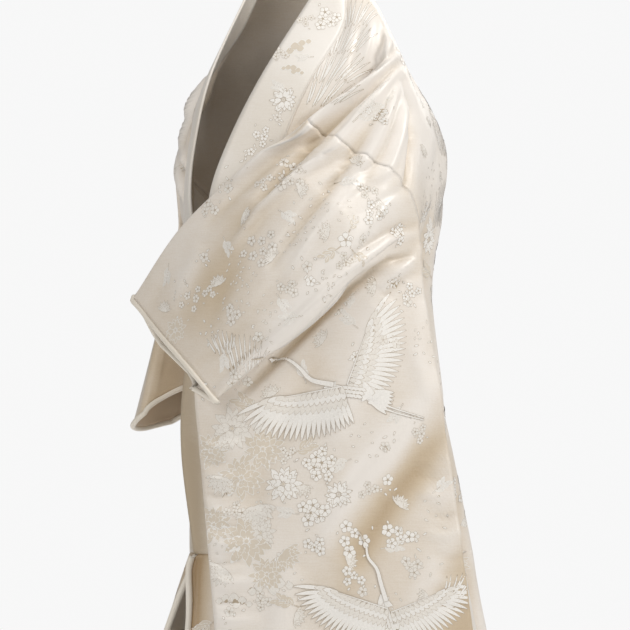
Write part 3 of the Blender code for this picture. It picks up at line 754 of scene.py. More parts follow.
@dataclass
class SleeveBag:
    """A sleeve: two layers round a bag, open at the armhole, its back edge and its mouth.

    Attributes:
        side: The wearer's side.
        stations: The bag's places at four stations from the armhole to the mouth.
        body: The body length that it is sewn to.
        flat: The width and the length all round of its flat cut, in metres.
        creases: The creases of the bag.
        painted_shades: Bands of painted shade, or of painted light where their height is positive,
            without a crease.
        rounds: Smoothing rounds.
        pinch: Columns over which the hanging layers close at the front edge.
        closed: The share of their gap that they close at the edge itself.
        opening: Rows below the mouth over which the edge opens again.
        back: How far the inner layer's mouth is drawn back, as a share of the width.
        eased: Columns over which the armhole's seam is smoothed into the sleeve.
        ease_rounds: Smoothing rounds of those columns.
        ridge_hold: The share of each smoothing move that the ridge leaves out.
    """

    side: Side
    stations: tuple[Station, ...]
    body: BodyLength
    flat: Pair
    creases: tuple[Crease, ...] = ()
    painted_shades: tuple[Crease, ...] = ()
    rounds: int = 14
    pinch: int = 5
    closed: float = 0.94
    opening: int = 12
    back: float = 0.04
    eased: int = 20
    ease_rounds: int = 160
    ridge_hold: float = 0.75

    def shape(self) -> None:
        """Work out the bag's grid: rows round the bag, columns out to the mouth."""
        loops = []
        for station in self.stations:
            loop = list(placed(station, self.side))
            low, hang, inner_hang = loop[0], loop[1], loop[-1]
            loops.append(loop + [low + unit(inner_hang - hang) * BAG_BOTTOM, low])
        across = np.linspace(0.0, 1.0, SLEEVE_COLUMNS + 1)
        loops = smooth_curve(np.array(loops), across)
        spans = loops.shape[1] - 1
        runs = np.linalg.norm(np.diff(loops, axis=1), axis=2).max(axis=0)
        counts = [max(2, ceil(run / SPAN_STEP)) for run in runs]
        for span in range(RIDGE_PLACE - BACK_SEAM_SPANS, RIDGE_PLACE + FRONT_SEAM_SPANS):
            counts[span] = UPPER_STEPS
        for outer in range(DROP_PLACE + 1):
            inner = BAG_PLACES - 1 - outer
            counts[outer] = counts[inner] = max(counts[outer], counts[inner])
        rows, self.starts = [], [0]
        for span, count in enumerate(counts):
            steps = np.arange(count) / count
            if span < CREASE_PLACE or span >= INNER_CREASE_PLACE:
                step = steps[:, None, None]
                rows.append(loops[:, span] * (1 - step) + loops[:, span + 1] * step)
            else:
                rows.append(smooth_curve(loops.transpose(1, 0, 2), (span + steps) / spans))
            self.starts.append(self.starts[-1] + count)
        rows.append(loops[None, :, -1])
        grid = np.concatenate(rows)
        ridge = self.starts[RIDGE_PLACE]
        self.sew(grid, ridge)
        self.set_back(grid)
        keep = np.zeros(grid.shape[:2])
        keep[ridge - 2:ridge + 3] = self.ridge_hold
        grid = softened(grid, self.rounds, keep)
        self.ease(grid, ridge)
        self.close_front(grid)
        self.middle = grid.reshape(-1, 3).mean(axis=0)
        normals = wall_normals(grid, grid - self.middle)
        # The crease heights raise the grid and, scaled down, become painted shading, with the
        # painted shade bands added.
        self.nap = crease_heights(grid, normals, self.creases, (0.0, 2.0))
        self.grid = grid + normals * (self.nap[..., None] * CM + WALL)
        self.nap = self.nap * PAINTED_SHADING_SHARE + crease_heights(grid, normals, self.painted_shades)
        self.grid[-1] = self.grid[0]
        self.sew(self.grid, ridge)
        self.blend(ridge)

    def sew(self, grid: np.ndarray, ridge: int) -> None:
        """Set the bag's first column on the armhole's edge of the body length."""
        back, front = self.body.grids["back"], self.body.grids["front"]
        for step in range(BACK_SEAM_SPANS * UPPER_STEPS + 1):
            grid[ridge - step, 0] = back[step, -1]
        for step in range(FRONT_SEAM_SPANS * UPPER_STEPS + 1):
            grid[ridge + step, 0] = front[step, -1]

    def ease(self, grid: np.ndarray, ridge: int) -> None:
        """Draw the columns next to the armhole level with the cloth on both sides of them."""
        last = self.eased
        rows = grid[ridge - BACK_SEAM_SPANS * UPPER_STEPS:
                    ridge + FRONT_SEAM_SPANS * UPPER_STEPS + 1]
        for _ in range(self.ease_rounds):
            rows[:, 1:last] = (rows[:, :last - 1] + rows[:, 2:last + 1]) / 2

    def blend(self, ridge: int, width: int = 7, rounds: int = 16, fade: int = 10) -> None:
        """Smooth the cloth across the armhole's seam, on the body's side and the sleeve's.

        Args:
            ridge: The row that lies on the shoulder.
            width: Columns on each side of the seam.
            rounds: Smoothing rounds.
            fade: Rows at the seam's end over which the smoothing fades out.
        """
        for edge, spans, way in ((self.body.grids["back"], BACK_SEAM_SPANS, -1),
                                 (self.body.grids["front"], FRONT_SEAM_SPANS, 1)):
            last = spans * UPPER_STEPS
            for step in range(last):
                row = self.grid[ridge + way * step]
                strip = np.concatenate((edge[step, -width - 1:], row[1:width + 1]))
                eased = strip.copy()
                for _ in range(rounds):
                    eased[1:-1] = (eased[:-2] + 2 * eased[1:-1] + eased[2:]) / 4
                strip += (eased - strip) * min(1.0, (last - step) / fade)
                edge[step, -width - 1:] = strip[:width + 1]
                row[:width + 1] = strip[width:]

    def set_back(self, grid: np.ndarray) -> None:
        """Draw the inner layer back from the mouth, so that the outer one covers its edge."""
        first, last = self.starts[RIDGE_PLACE], self.starts[INNER_TUCK_PLACE]
        columns = np.arange(SLEEVE_COLUMNS + 1.0)
        for row in range(first, last + 1):
            share = sin((row - first) / (last - first) * pi) ** 0.5
            laid = smooth_curve(grid[row], columns / SLEEVE_COLUMNS * (1 - self.back * share))
            grid[row] = laid

    def close_front(self, grid: np.ndarray) -> None:
        """Bring the hanging layers together along the sewn front edge."""
        bottom, top = self.starts[BAG_PLACES], self.starts[DROP_PLACE]
        for row in range(top + 1):
            partner = bottom - row
            for step in range(self.pinch + 1):
                column = SLEEVE_COLUMNS - step
                share = self.closed * (1 - step / (self.pinch + 1)) ** 1.5
                share *= min(1.0, (top - row) / self.opening)
                middle = (grid[row, column] + grid[partner, column]) / 2
                for spot in (row, partner):
                    grid[spot, column] += (middle - grid[spot, column]) * share

    def build(self, silk: Material, satins: dict) -> None:
        """Build the bag with its woven figures."""
        word = self.side.word
        bag = Cloth(f"silk_sleeve_{word}", f"sleeve_{word}", "silk_damask", WALL,
                    flat=self.flat, rests_on=(f"body_{word}",))
        sheet = bag.build((self.grid,), self.middle, silk, (self.nap,))
        left = self.side is Side.LEFT
        bag.brocaded(sheet, sleeve_left_figures() if left else sleeve_right_figures(), satins)
        bag.declare(sheet)


@dataclass
class Collar:
    """The folded collar, from the centre back down both front edges.

    Attributes:
        bodies: The body lengths that it is sewn to.
        crown: How far it swells between its seam and its folded edge, in metres.
        cord: The radius of the raised edge along its seam, in metres.
        sink: How far that edge lies in the cloth, in metres.
    """

    bodies: tuple[BodyLength, BodyLength]
    crown: float = 0.0022
    cord: float = 0.0009
    sink: float = 0.0004

    def half(self, body: BodyLength) -> np.ndarray:
        """Return one half's grid, in rows from the centre back to its lower end."""
        back, okumi = body.grids["back"], body.grids["okumi"]
        spans = len(body.starts) - 1
        neck, end = body.starts[NECK_SPANS], body.starts[COLLAR_SPANS]
        seam = np.concatenate((back[neck:0:-1, 0], okumi[:end + 1, 0]))
        passed = body.down * spans
        shares = np.concatenate((NECK_SPANS - passed[neck:0:-1], NECK_SPANS + passed[:end + 1]))
        folds = list(placed(COLLAR_FOLD, body.side))
        for section in SECTIONS[:COLLAR_SECTIONS]:
            tip = section_point(section, body.side, 1.0)[None, None]
            folds.append(folded(tip, body.side, np.array([1.0]))[0, 0])
        fold = smooth_curve(np.array(folds), shares / (NECK_SPANS + COLLAR_SPANS))
        start = seam + unit(fold - seam) * COLLAR_GAP
        across = np.linspace(0.0, 1.0, COLLAR_COLUMNS + 1)[None, :, None]
        grid = start[:, None] * (1 - across) + fold[:, None] * across
        normals = wall_normals(grid, grid * LEVEL)
        return grid + normals * (np.sin(across * pi) ** 0.7 * self.crown + COLLAR_WALL * 0.6)

    def seam(self, name: str, line: np.ndarray, silk: Material) -> Object:
        """Build the thin raised edge along the collar's seam."""
        cord = tube(name, line, line * LEVEL, np.full(len(line), self.cord), 8, silk)
        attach(cord, "root")
        return cord

    def build(self, silk: Material, satins: dict) -> None:
        """Build the collar with its woven figures."""
        cloth = Cloth("silk_collar", "collar", "collar_silk", COLLAR_WALL,
                      flat=(0.075, 1.86), held="folded", rests_on=("body_left", "body_right"))
        halves = [self.half(body) for body in self.bodies]
        walls = [wall_normals(half, half * LEVEL) for half in halves]
        # The collar takes the bodies' painted shade and painted light bands as its painted shading.
        painted_shadings = [crease_heights(half, normals, body.painted_shades)
                for half, normals, body in zip(halves, walls, self.bodies)]
        sheet = cloth.build(halves, None, silk, painted_shadings)
        cloth.brocaded(sheet, collar_figures(), satins)
        for half, normals, body in zip(halves, walls, self.bodies):
            line = half[:, 0] - normals[:, 0] * self.sink
            cloth.extras.append(self.seam(f"silk_collar_seam_{body.side.word}", line, silk))
        cloth.declare(sheet)


def tube(name: str, middle: np.ndarray, out: np.ndarray, radius: np.ndarray, sides: int,
         material: Material) -> Object:
    """Make a closed tube along a line.

    Args:
        name: The piece's name.
        middle: The points of its middle line.
        out: A direction across the line at each point.
        radius: The radius at each point, in metres.
        sides: Faces round the tube.
        material: Its material.

    Returns:
        The tube's object.
    """
    along = unit(np.gradient(middle, axis=0))
    out = unit(out - along * np.sum(out * along, axis=1, keepdims=True))
    other = np.cross(along, out)
    turns = np.linspace(0.0, 2 * pi, sides, endpoint=False)
    ring = (out[:, None] * np.cos(turns)[None, :, None]
            + other[:, None] * np.sin(turns)[None, :, None])
    points = (middle[:, None] + ring * radius[:, None, None]).reshape(-1, 3)
    faces = []
    for row in range(len(middle) - 1):
        for side in range(sides):
            a, b = row * sides + side, row * sides + (side + 1) % sides
            faces.append((a, b, b + sides, a + sides))
    last = len(points) - sides
    faces += [tuple(range(sides))[::-1], tuple(range(last, last + sides))]
    mesh = bpy.data.meshes.new(name)
    mesh.from_pydata([tuple(point) for point in points], [], faces)
    body = bmesh.new()
    body.from_mesh(mesh)
    bmesh.ops.recalc_face_normals(body, faces=body.faces)
    for face in body.faces:
        face.smooth = len(face.verts) == 4
    body.to_mesh(mesh)
    body.free()
    mesh.materials.append(material)
    return linked(name, mesh)


@dataclass
class PaddedRoll:
    """A padded roll of silk along an edge of cloth.

    Attributes:
        kind: The word for it in its names.
        side: The wearer's side.
        radius: The roll's radius in metres.
        sides: Faces round the roll.
        lump: How unevenly it is filled, as a share of its radius.
        stand: How far its middle stands off the edge, as a share of its radius.
    """

    kind: str
    side: Side
    radius: float
    sides: int = 16
    lump: float = 0.07
    stand: float = 0.8

    def build(self, line: np.ndarray, before: np.ndarray, normals: np.ndarray,
              silk: Material) -> None:
        """Build the roll just off an edge.

        Args:
            line: The points of the edge.
            before: The points of the line of cloth next to it.
            normals: The cloth's outward direction along the edge.
            silk: The roll's material.
        """
        along = unit(np.gradient(line, axis=0))
        out = line - before
        out = unit(out - along * np.sum(out * along, axis=1, keepdims=True))
        run = np.concatenate(([0.0], np.cumsum(np.linalg.norm(np.diff(line, axis=0), axis=1))))
        swell = 1 + self.lump * (0.6 * np.sin(run * 47) + 0.4 * np.sin(run * 113 + 1.3))
        middle = line + normals * WALL / -2 + out * self.radius * self.stand
        node = f"{self.kind}_roll_{self.side.word}"
        roll = tube(f"silk_{node}", middle, out, self.radius * swell, self.sides, silk)
        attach(roll, "root")
        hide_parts(node)
        LOG.info("%s: %d faces", roll.name, len(roll.data.polygons))


@dataclass
class Trim:
    """The rolls along the hem, the front edges and the sleeve mouths, and the cuff lining.

    Attributes:
        hem_radius: The radius of the hem's roll, in metres.
        edge_radius: The radius of the front edge's roll.
        cuff_radius: The radius of the roll round a sleeve's mouth.
        cuff_sides: Faces round that roll.
        lining_depth: Columns of the sleeve that the lining reaches in from the mouth.
    """

    hem_radius: float = 0.0125
    edge_radius: float = 0.0042
    cuff_radius: float = 0.0034
    cuff_sides: int = 12
    lining_depth: int = 16

    def hem(self, body: BodyLength, silk: Material) -> None:
        """Build the roll along one half of the hem."""
        back, front, okumi = body.grids["back"], body.grids["front"], body.okumi
        edges = [np.concatenate((back[row, :-1], front[row, ::-1][:-1], okumi[row, ::-1]))
                 for row in (-1, -2)]
        PaddedRoll("hem", body.side, self.hem_radius).build(*edges, self.lifts(*edges), silk)

    def edge(self, body: BodyLength, silk: Material) -> None:
        """Build the narrow roll down one front edge."""
        first = body.starts[COLLAR_SPANS + 1] - body.okumi_start
        edges = [body.okumi[first:-2, column] for column in (0, 1)]
        PaddedRoll("edge", body.side, self.edge_radius).build(*edges, self.lifts(*edges), silk)

    @staticmethod
    def lifts(line: np.ndarray, before: np.ndarray) -> np.ndarray:
        """Return the cloth's outward direction along an edge of the body."""
        along = unit(np.gradient(line, axis=0))
        normals = unit(np.cross(along, line - before))
        vote = float(np.sum(normals * line * LEVEL))
        return normals if vote >= 0.0 else -normals

    def cuff(self, bag: SleeveBag, silk: Material) -> None:
        """Build the roll round a sleeve's mouth."""
        first = bag.starts[TUCK_PLACE] - 3
        last = bag.starts[INNER_TUCK_PLACE] + 3
        normals = wall_normals(bag.grid, bag.grid - bag.middle)
        edges = [bag.grid[first:last, column] for column in (-1, -2)]
        roll = PaddedRoll("cuff", bag.side, self.cuff_radius, self.cuff_sides)
        roll.build(*edges, normals[first:last, -1], silk)

    def lining(self, bag: SleeveBag, silk: Material) -> None:
        """Build the lining that shows inside a sleeve's mouth."""
        first, last = bag.starts[TUCK_PLACE] + 2, bag.starts[INNER_TUCK_PLACE] - 1
        normals = wall_normals(bag.grid, bag.grid - bag.middle)
        part = (slice(first, last), slice(-self.lining_depth, None))
        grid = bag.grid[part] - normals[part] * (WALL + 0.0003)
        word = bag.side.word
        cloth = Cloth(f"silk_cuff_lining_{word}", f"cuff_lining_{word}", "lining_silk",
                      LINING_WALL, flat=(0.056, 0.40), rests_on=(f"sleeve_{word}",))
        sheet = cloth.build((grid,), bag.middle, silk)
        cloth.declare(sheet)


class Tone(Enum):
    """The satin that a woven run shows."""

    LIGHT = 0
    MID = 1
    DARK = 2
    FAINT = 3


LIGHT, MID, DARK, FAINT = Tone


@dataclass(frozen=True)
class Run:
    """A filled run of a woven figure: a line with its half width at each point, in millimetres."""

    line: tuple[Pair, ...]
    half: tuple[float, ...]
    tone: Tone = LIGHT
    rim: float = 0.35
    edge: Tone = DARK


RUN_STEP = 4.0
STEM_RIM = 0.3
BLOSSOM_PETALS = 5
WING_ARM = 0.55


def curve_points(points: Sequence[Pair], count: int) -> list[Pair]:
    """Return points at even shares along the smooth curve through a few points."""
    line = smooth_curve(np.array(points, float), np.linspace(0.0, 1.0, count))
    return [(float(x), float(y)) for x, y in line]


def petal(x: float, y: float, angle: float, length: float, width: float,
          tone: Tone = LIGHT, bend: float = 0.0, tip: float = 0.62,
          rim: float = 0.35, edge: Tone = DARK) -> Run:
    """Return a petal, leaf or feather.

    Args:
        x: Its root's place across, in millimetres.
        y: Its root's place up.
        angle: Its direction in degrees, anticlockwise from across.
        length: Its length.
        width: Its greatest width.
        tone: The satin that it shows.
        bend: How many degrees it turns over its length.
        tip: Where along it the greatest width lies, from 0 to 1.
        rim: The width of the line round it.
        edge: The satin of that line.

    Returns:
        The run.
    """
    if tone is FAINT and edge is DARK:
        edge, rim = outline_of(tone)
    steps = max(4, ceil(length / RUN_STEP))
    line, half = [(x, y)], []
    for step in range(steps):
        turn = radians(angle + bend * (step + 0.5) / steps)
        last_x, last_y = line[-1]
        line.append((last_x + cos(turn) * length / steps,
                     last_y + sin(turn) * length / steps))
    for step in range(steps + 1):
        share = step / steps
        swell = share / tip if share < tip else (1 - share) / (1 - tip)
        half.append(max(width / 2 * sin(min(swell, 1.0) * pi / 2) ** 0.8, 0.08))
    return Run(tuple(line), tuple(half), tone, rim, edge)


def stem(points: Sequence[Pair], width: float, tone: Tone = LIGHT,
         taper: float = 0.3) -> Run:
    """Return a stem, neck or leg along a smooth curve, thinner towards its end."""
    reach = sum(dist(a, b) for a, b in zip(points, points[1:]))
    count = max(3, ceil(reach / RUN_STEP)) + 1
    line = curve_points(points, count)
    half = [width / 2 * (1 - (1 - taper) * step / (count - 1)) for step in range(count)]
    return Run(tuple(line), tuple(half), tone, STEM_RIM)


def blossom(x: float, y: float, radius: float, turn: float = 0.0,
            tone: Tone = LIGHT) -> list[Run]:
    """Return a small blossom with round petals and a stamen dot."""
    runs = []
    for index in range(BLOSSOM_PETALS):
        angle = turn + index * 360.0 / BLOSSOM_PETALS
        root_x = x + cos(radians(angle)) * radius * 0.16
        root_y = y + sin(radians(angle)) * radius * 0.16
        runs.append(petal(root_x, root_y, angle, radius * 0.84, radius * 0.78, tone, tip=0.66))
    runs.append(petal(x - radius * 0.12, y, 0.0, radius * 0.24, radius * 0.22, DARK, rim=0.0))
    return runs


def outline_of(tone: Tone) -> tuple[Tone, float]:
    """Return the satin and the width of the line round a petal of a tone."""
    return {LIGHT: (DARK, 0.40), MID: (LIGHT, 0.6),
            FAINT: (DARK, 0.22)}[tone]


def chrysanthemum(x: float, y: float, radius: float, turn: float = 0.0,
                  rings: int = 3, tone: Tone = LIGHT) -> list[Run]:
    """Return an open chrysanthemum, its rings of petals laid from the rim inwards."""
    runs = []
    edge, rim = outline_of(tone)
    for ring in range(rings):
        outer = radius * (1 - ring * 0.25)
        inner = outer * 0.22
        count = max(8, round(15 - ring * 3))
        for index in range(count):
            angle = turn + ring * 13.0 + index * 360.0 / count + 4.0 * sin(index * 2.9)
            wobble = 1 + 0.13 * sin(index * 2.4 + ring + turn)
            way = radians(angle)
            runs.append(petal(x + cos(way) * inner, y + sin(way) * inner, angle,
                              (outer - inner) * wobble, outer * 4.2 / count, tone,
                              bend=16.0 * sin(index * 1.7 + ring), tip=0.6,
                              rim=rim, edge=edge))
    runs.append(petal(x - radius * 0.10, y, 0.0, radius * 0.20, radius * 0.18, MID,
                      rim=0.4, edge=LIGHT))
    return runs


def half_chrysanthemum(x: float, y: float, radius: float, turn: float,
                       tone: Tone = LIGHT) -> list[Run]:
    """Return a chrysanthemum seen from its side: a fan of petals over a small cup."""
    runs = []
    edge, rim = outline_of(tone)
    for ring, reach in ((0, 1.0), (1, 0.76), (2, 0.5)):
        count = 11 - ring * 2
        for index in range(count):
            angle = turn - 82.0 + index * 164.0 / (count - 1)
            runs.append(petal(x, y, angle, radius * reach * (1 - 0.14 * (index % 2)),
                              radius * 0.19, tone, bend=(angle - turn) * -0.3, tip=0.7,
                              rim=rim, edge=edge))
    return runs


def leaf_spray(x: float, y: float, turn: float, length: float, leaves: int = 5,
               tone: Tone = MID) -> list[Run]:
    """Return a short stem with leaves at both sides."""
    way = radians(turn)
    end = (x + cos(way) * length, y + sin(way) * length)
    runs = [stem(((x, y), end), 1.0, tone)]
    for index in range(leaves):
        share = 0.25 + 0.75 * index / leaves
        side = 1 if index % 2 else -1
        root_x, root_y = x + cos(way) * length * share, y + sin(way) * length * share
        runs.append(petal(root_x, root_y, turn + side * 42.0, length * 0.46, length * 0.19, tone,
                          bend=side * -20.0, rim=0.5, edge=LIGHT))
        runs.append(petal(root_x, root_y, turn + side * 40.0, length * 0.36, 0.7, LIGHT,
                          bend=side * -20.0, rim=0.0))
    return runs


def petals_adrift(x: float, y: float, reach: float, count: int, seed: int,
                  tone: Tone = LIGHT, size: float = 5.0) -> list[Run]:
    """Return loose petals spread round a place, the same at every run of the script."""
    runs = []
    for index in range(count):
        angle = (index * 137.5 + seed * 47.0) % 360.0
        away = reach * sqrt((index + 0.5) / count)
        stretch = 1.0 + 0.35 * sin(seed + index * 2.1)
        runs.append(petal(x + cos(radians(angle)) * away * stretch,
                          y + sin(radians(angle)) * away, angle * 3.7 % 360.0,
                          size * (0.8 + 0.4 * sin(index * 5.3) ** 2), size * 0.5, tone))
    return runs


def blossom_cluster(x: float, y: float, reach: float, count: int, seed: int,
                    radius: float = 7.5, tone: Tone = LIGHT) -> list[Run]:
    """Return blossoms crowded round a place, with loose petals between them."""
    runs = []
    for index in range(count):
        angle = radians((index * 137.5 + seed * 61.0) % 360.0)
        away = reach * sqrt((index + 0.4) / count)
        size = radius * (0.8 + 0.35 * sin(seed * 1.7 + index * 2.9) ** 2)
        runs += blossom(x + cos(angle) * away, y + sin(angle) * away * 0.9, size,
                        index * 31.0 + seed, tone)
    return runs + petals_adrift(x, y, reach * 1.35, count, seed + 3, tone, radius * 0.6)


def cloud(x: float, y: float, width: float, turn: float = 0.0,
          tone: Tone = FAINT) -> list[Run]:
    """Return a scalloped cloud band: overlapping lobes over a flat run, with a bright rim."""
    runs = []
    way = radians(turn)
    for along, up, size in ((-0.42, 0.0, 0.20), (-0.24, 0.09, 0.26), (-0.02, 0.13, 0.30),
                            (0.22, 0.08, 0.25), (0.42, 0.0, 0.19), (0.06, -0.04, 0.26)):
        across, rise = along * width, up * width
        spot_x = x + across * cos(way) - rise * sin(way)
        spot_y = y + across * sin(way) + rise * cos(way)
        reach = size * width
        runs.append(petal(spot_x - reach / 2, spot_y, 0.0, reach, reach * 0.9, tone,
                          tip=0.5, rim=0.9, edge=outline_of(tone)[0]))
    return runs


def reeds(x: float, y: float, turn: float, length: float, count: int = 11) -> list[Run]:
    """Return a tuft of narrow blades."""
    runs = []
    for index in range(count):
        share = index / (count - 1) - 0.5
        tall = length * (1 - 0.9 * share * share - 0.16 * (index % 3 == 1))
        runs.append(petal(x + share * length * 0.85, y + 4.0 * sin(index * 2.0),
                          turn - share * 34.0, tall, 2.4, LIGHT, bend=share * -22.0, tip=0.3))
    return runs


def wing(x: float, y: float, angle: float, spread: float, length: float,
         feathers: int) -> list[Run]:
    """Return an open wing.

    Args:
        x: The shoulder's place across, in millimetres.
        y: The shoulder's place up.
        angle: The direction of the wing's leading edge, in degrees.
        spread: How far the feathers turn from the leading edge to the body, in degrees.
        length: The length from the shoulder to the wing's tip.
        feathers: How many flight feathers it has.

    Returns:
        Its runs, from the flight feathers up to the short coverts of the arm.
    """
    runs = []
    way = radians(angle)
    arm = length * WING_ARM
    for index in range(feathers):
        share = index / (feathers - 1)
        root = arm * (1 - share)
        turn = angle + spread * share ** 0.75
        reach = (length - arm) * (1.18 - 0.34 * share) + arm * 0.10 * sin(share * pi)
        runs.append(petal(x + cos(way) * root, y + sin(way) * root, turn,
                          reach, length * 0.044, LIGHT, bend=spread * 0.22, tip=0.66))
    for ring, (cut, wide, tone) in enumerate(((0.58, 0.056, FAINT), (0.38, 0.054, LIGHT),
                                              (0.21, 0.050, FAINT))):
        count = max(5, round(feathers * (0.72 - 0.08 * ring)))
        edge, rim = outline_of(tone)
        for index in range(count):
            share = index / (count - 1)
            root = arm * (1 - share) * 1.02
            turn = angle + spread * (share ** 0.75) * 0.97
            runs.append(petal(x + cos(way) * root, y + sin(way) * root, turn,
                              (length - arm) * cut * (1.1 - 0.3 * share), length * wide, tone,
                              bend=spread * 0.12, tip=0.72, rim=rim, edge=edge))
    end = (x + cos(way) * arm * 1.04, y + sin(way) * arm * 1.04)
    runs.append(stem(((x, y), end), length * 0.016, LIGHT, 0.5))
    return runs


def crane(x: float, y: float, turn: float, size: float, flip: bool = False,
          wing_turns: Pair = (58.0, 150.0),
          neck: tuple[Pair, ...] = ((0.0, 0.0), (-0.13, 0.03), (-0.20, 0.10),
                                                   (-0.27, 0.15), (-0.35, 0.15))) -> list[Run]:
    """Return a flying crane.

    Args:
        x: The body's place across, in millimetres.
        y: The body's place up.
        turn: How far the whole bird is turned, in degrees.
        size: The length from beak to foot.
        flip: Whether the bird looks the other way.
        wing_turns: The directions of the far and the near wing's leading edges.
        neck: The places of the neck, from the body to the head, as shares of the size.

    Returns:
        Its runs.
    """
    runs = wing(0.02 * size, 0.03 * size, wing_turns[0], -84.0, size * 0.56, 20)
    for index in range(7):
        runs.append(petal(0.10 * size, -0.02 * size, -14.0 - 7.0 * (index - 3), size * 0.19,
                          size * 0.032, LIGHT, bend=-10.0))
    for gap in (0.0, 0.022):
        leg = ((0.14 * size, (-0.05 - gap) * size), (0.30 * size, (-0.11 - gap) * size),
               (0.46 * size, (-0.16 - gap * 0.6) * size))
        runs.append(stem(leg, size * 0.011, LIGHT, 0.6))
    runs.append(petal(-0.12 * size, 0.015 * size, -6.0, size * 0.30, size * 0.14, LIGHT))
    for row in range(3):
        for index in range(8 - row):
            share = (index + row * 0.5) / 8
            across, up = -0.07 + 0.18 * share, 0.03 - 0.022 * row - 0.02 * share
            runs.append(petal(across * size, up * size, -24.0, size * 0.045, size * 0.020,
                              LIGHT, tip=0.7))
    runs += wing(-0.01 * size, 0.02 * size, wing_turns[1], 88.0, size * 0.60, 22)
    places = [(-0.06 * size + a * size, 0.03 * size + b * size) for a, b in neck]
    runs.append(stem(places, size * 0.030, LIGHT, 0.42))
    head_x, head_y = places[-1]
    runs.append(petal(head_x + size * 0.022, head_y - size * 0.004, 176.0, size * 0.055,
                      size * 0.036, LIGHT, tip=0.42))
    runs.append(stem(((head_x - size * 0.026, head_y + size * 0.001),
                      (head_x - size * 0.115, head_y - size * 0.010)), size * 0.012, MID, 0.2))
    runs.append(petal(head_x + size * 0.008, head_y + size * 0.010, 178.0, size * 0.026,
                      size * 0.010, DARK, rim=0.0))
    return moved(runs, x, y, turn, flip)


def moved(runs: Iterable[Run], x: float, y: float, turn: float, flip: bool = False) -> list[Run]:
    """Return runs turned about their middle, flipped where asked, and moved to a place."""
    way = radians(turn)
    sign = -1.0 if flip else 1.0
    laid = []
    for run in runs:
        line = tuple((x + sign * a * cos(way) - b * sin(way),
                      y + sign * a * sin(way) + b * cos(way)) for a, b in run.line)
        laid.append(Run(line, run.half, run.tone, run.rim, run.edge))
    return laid


class Figure(NamedTuple):
    """A woven figure's runs, and its place as one view shows it, in centimetres."""

    azimuth: float
    across: float
    up: float
    runs: list[Run]


def photo_figures(*rows: tuple) -> list[Figure]:
    """Return figures of the main view.

    Args:
        rows: For each its place in that picture's dots, then its runs or their maker and facts.

    Returns:
        The figures.
    """
    return [Figure(PHOTO_AZIMUTH, *photo_place(x, y), maker(0, 0, *facts) if facts else maker)
            for x, y, maker, *facts in rows]


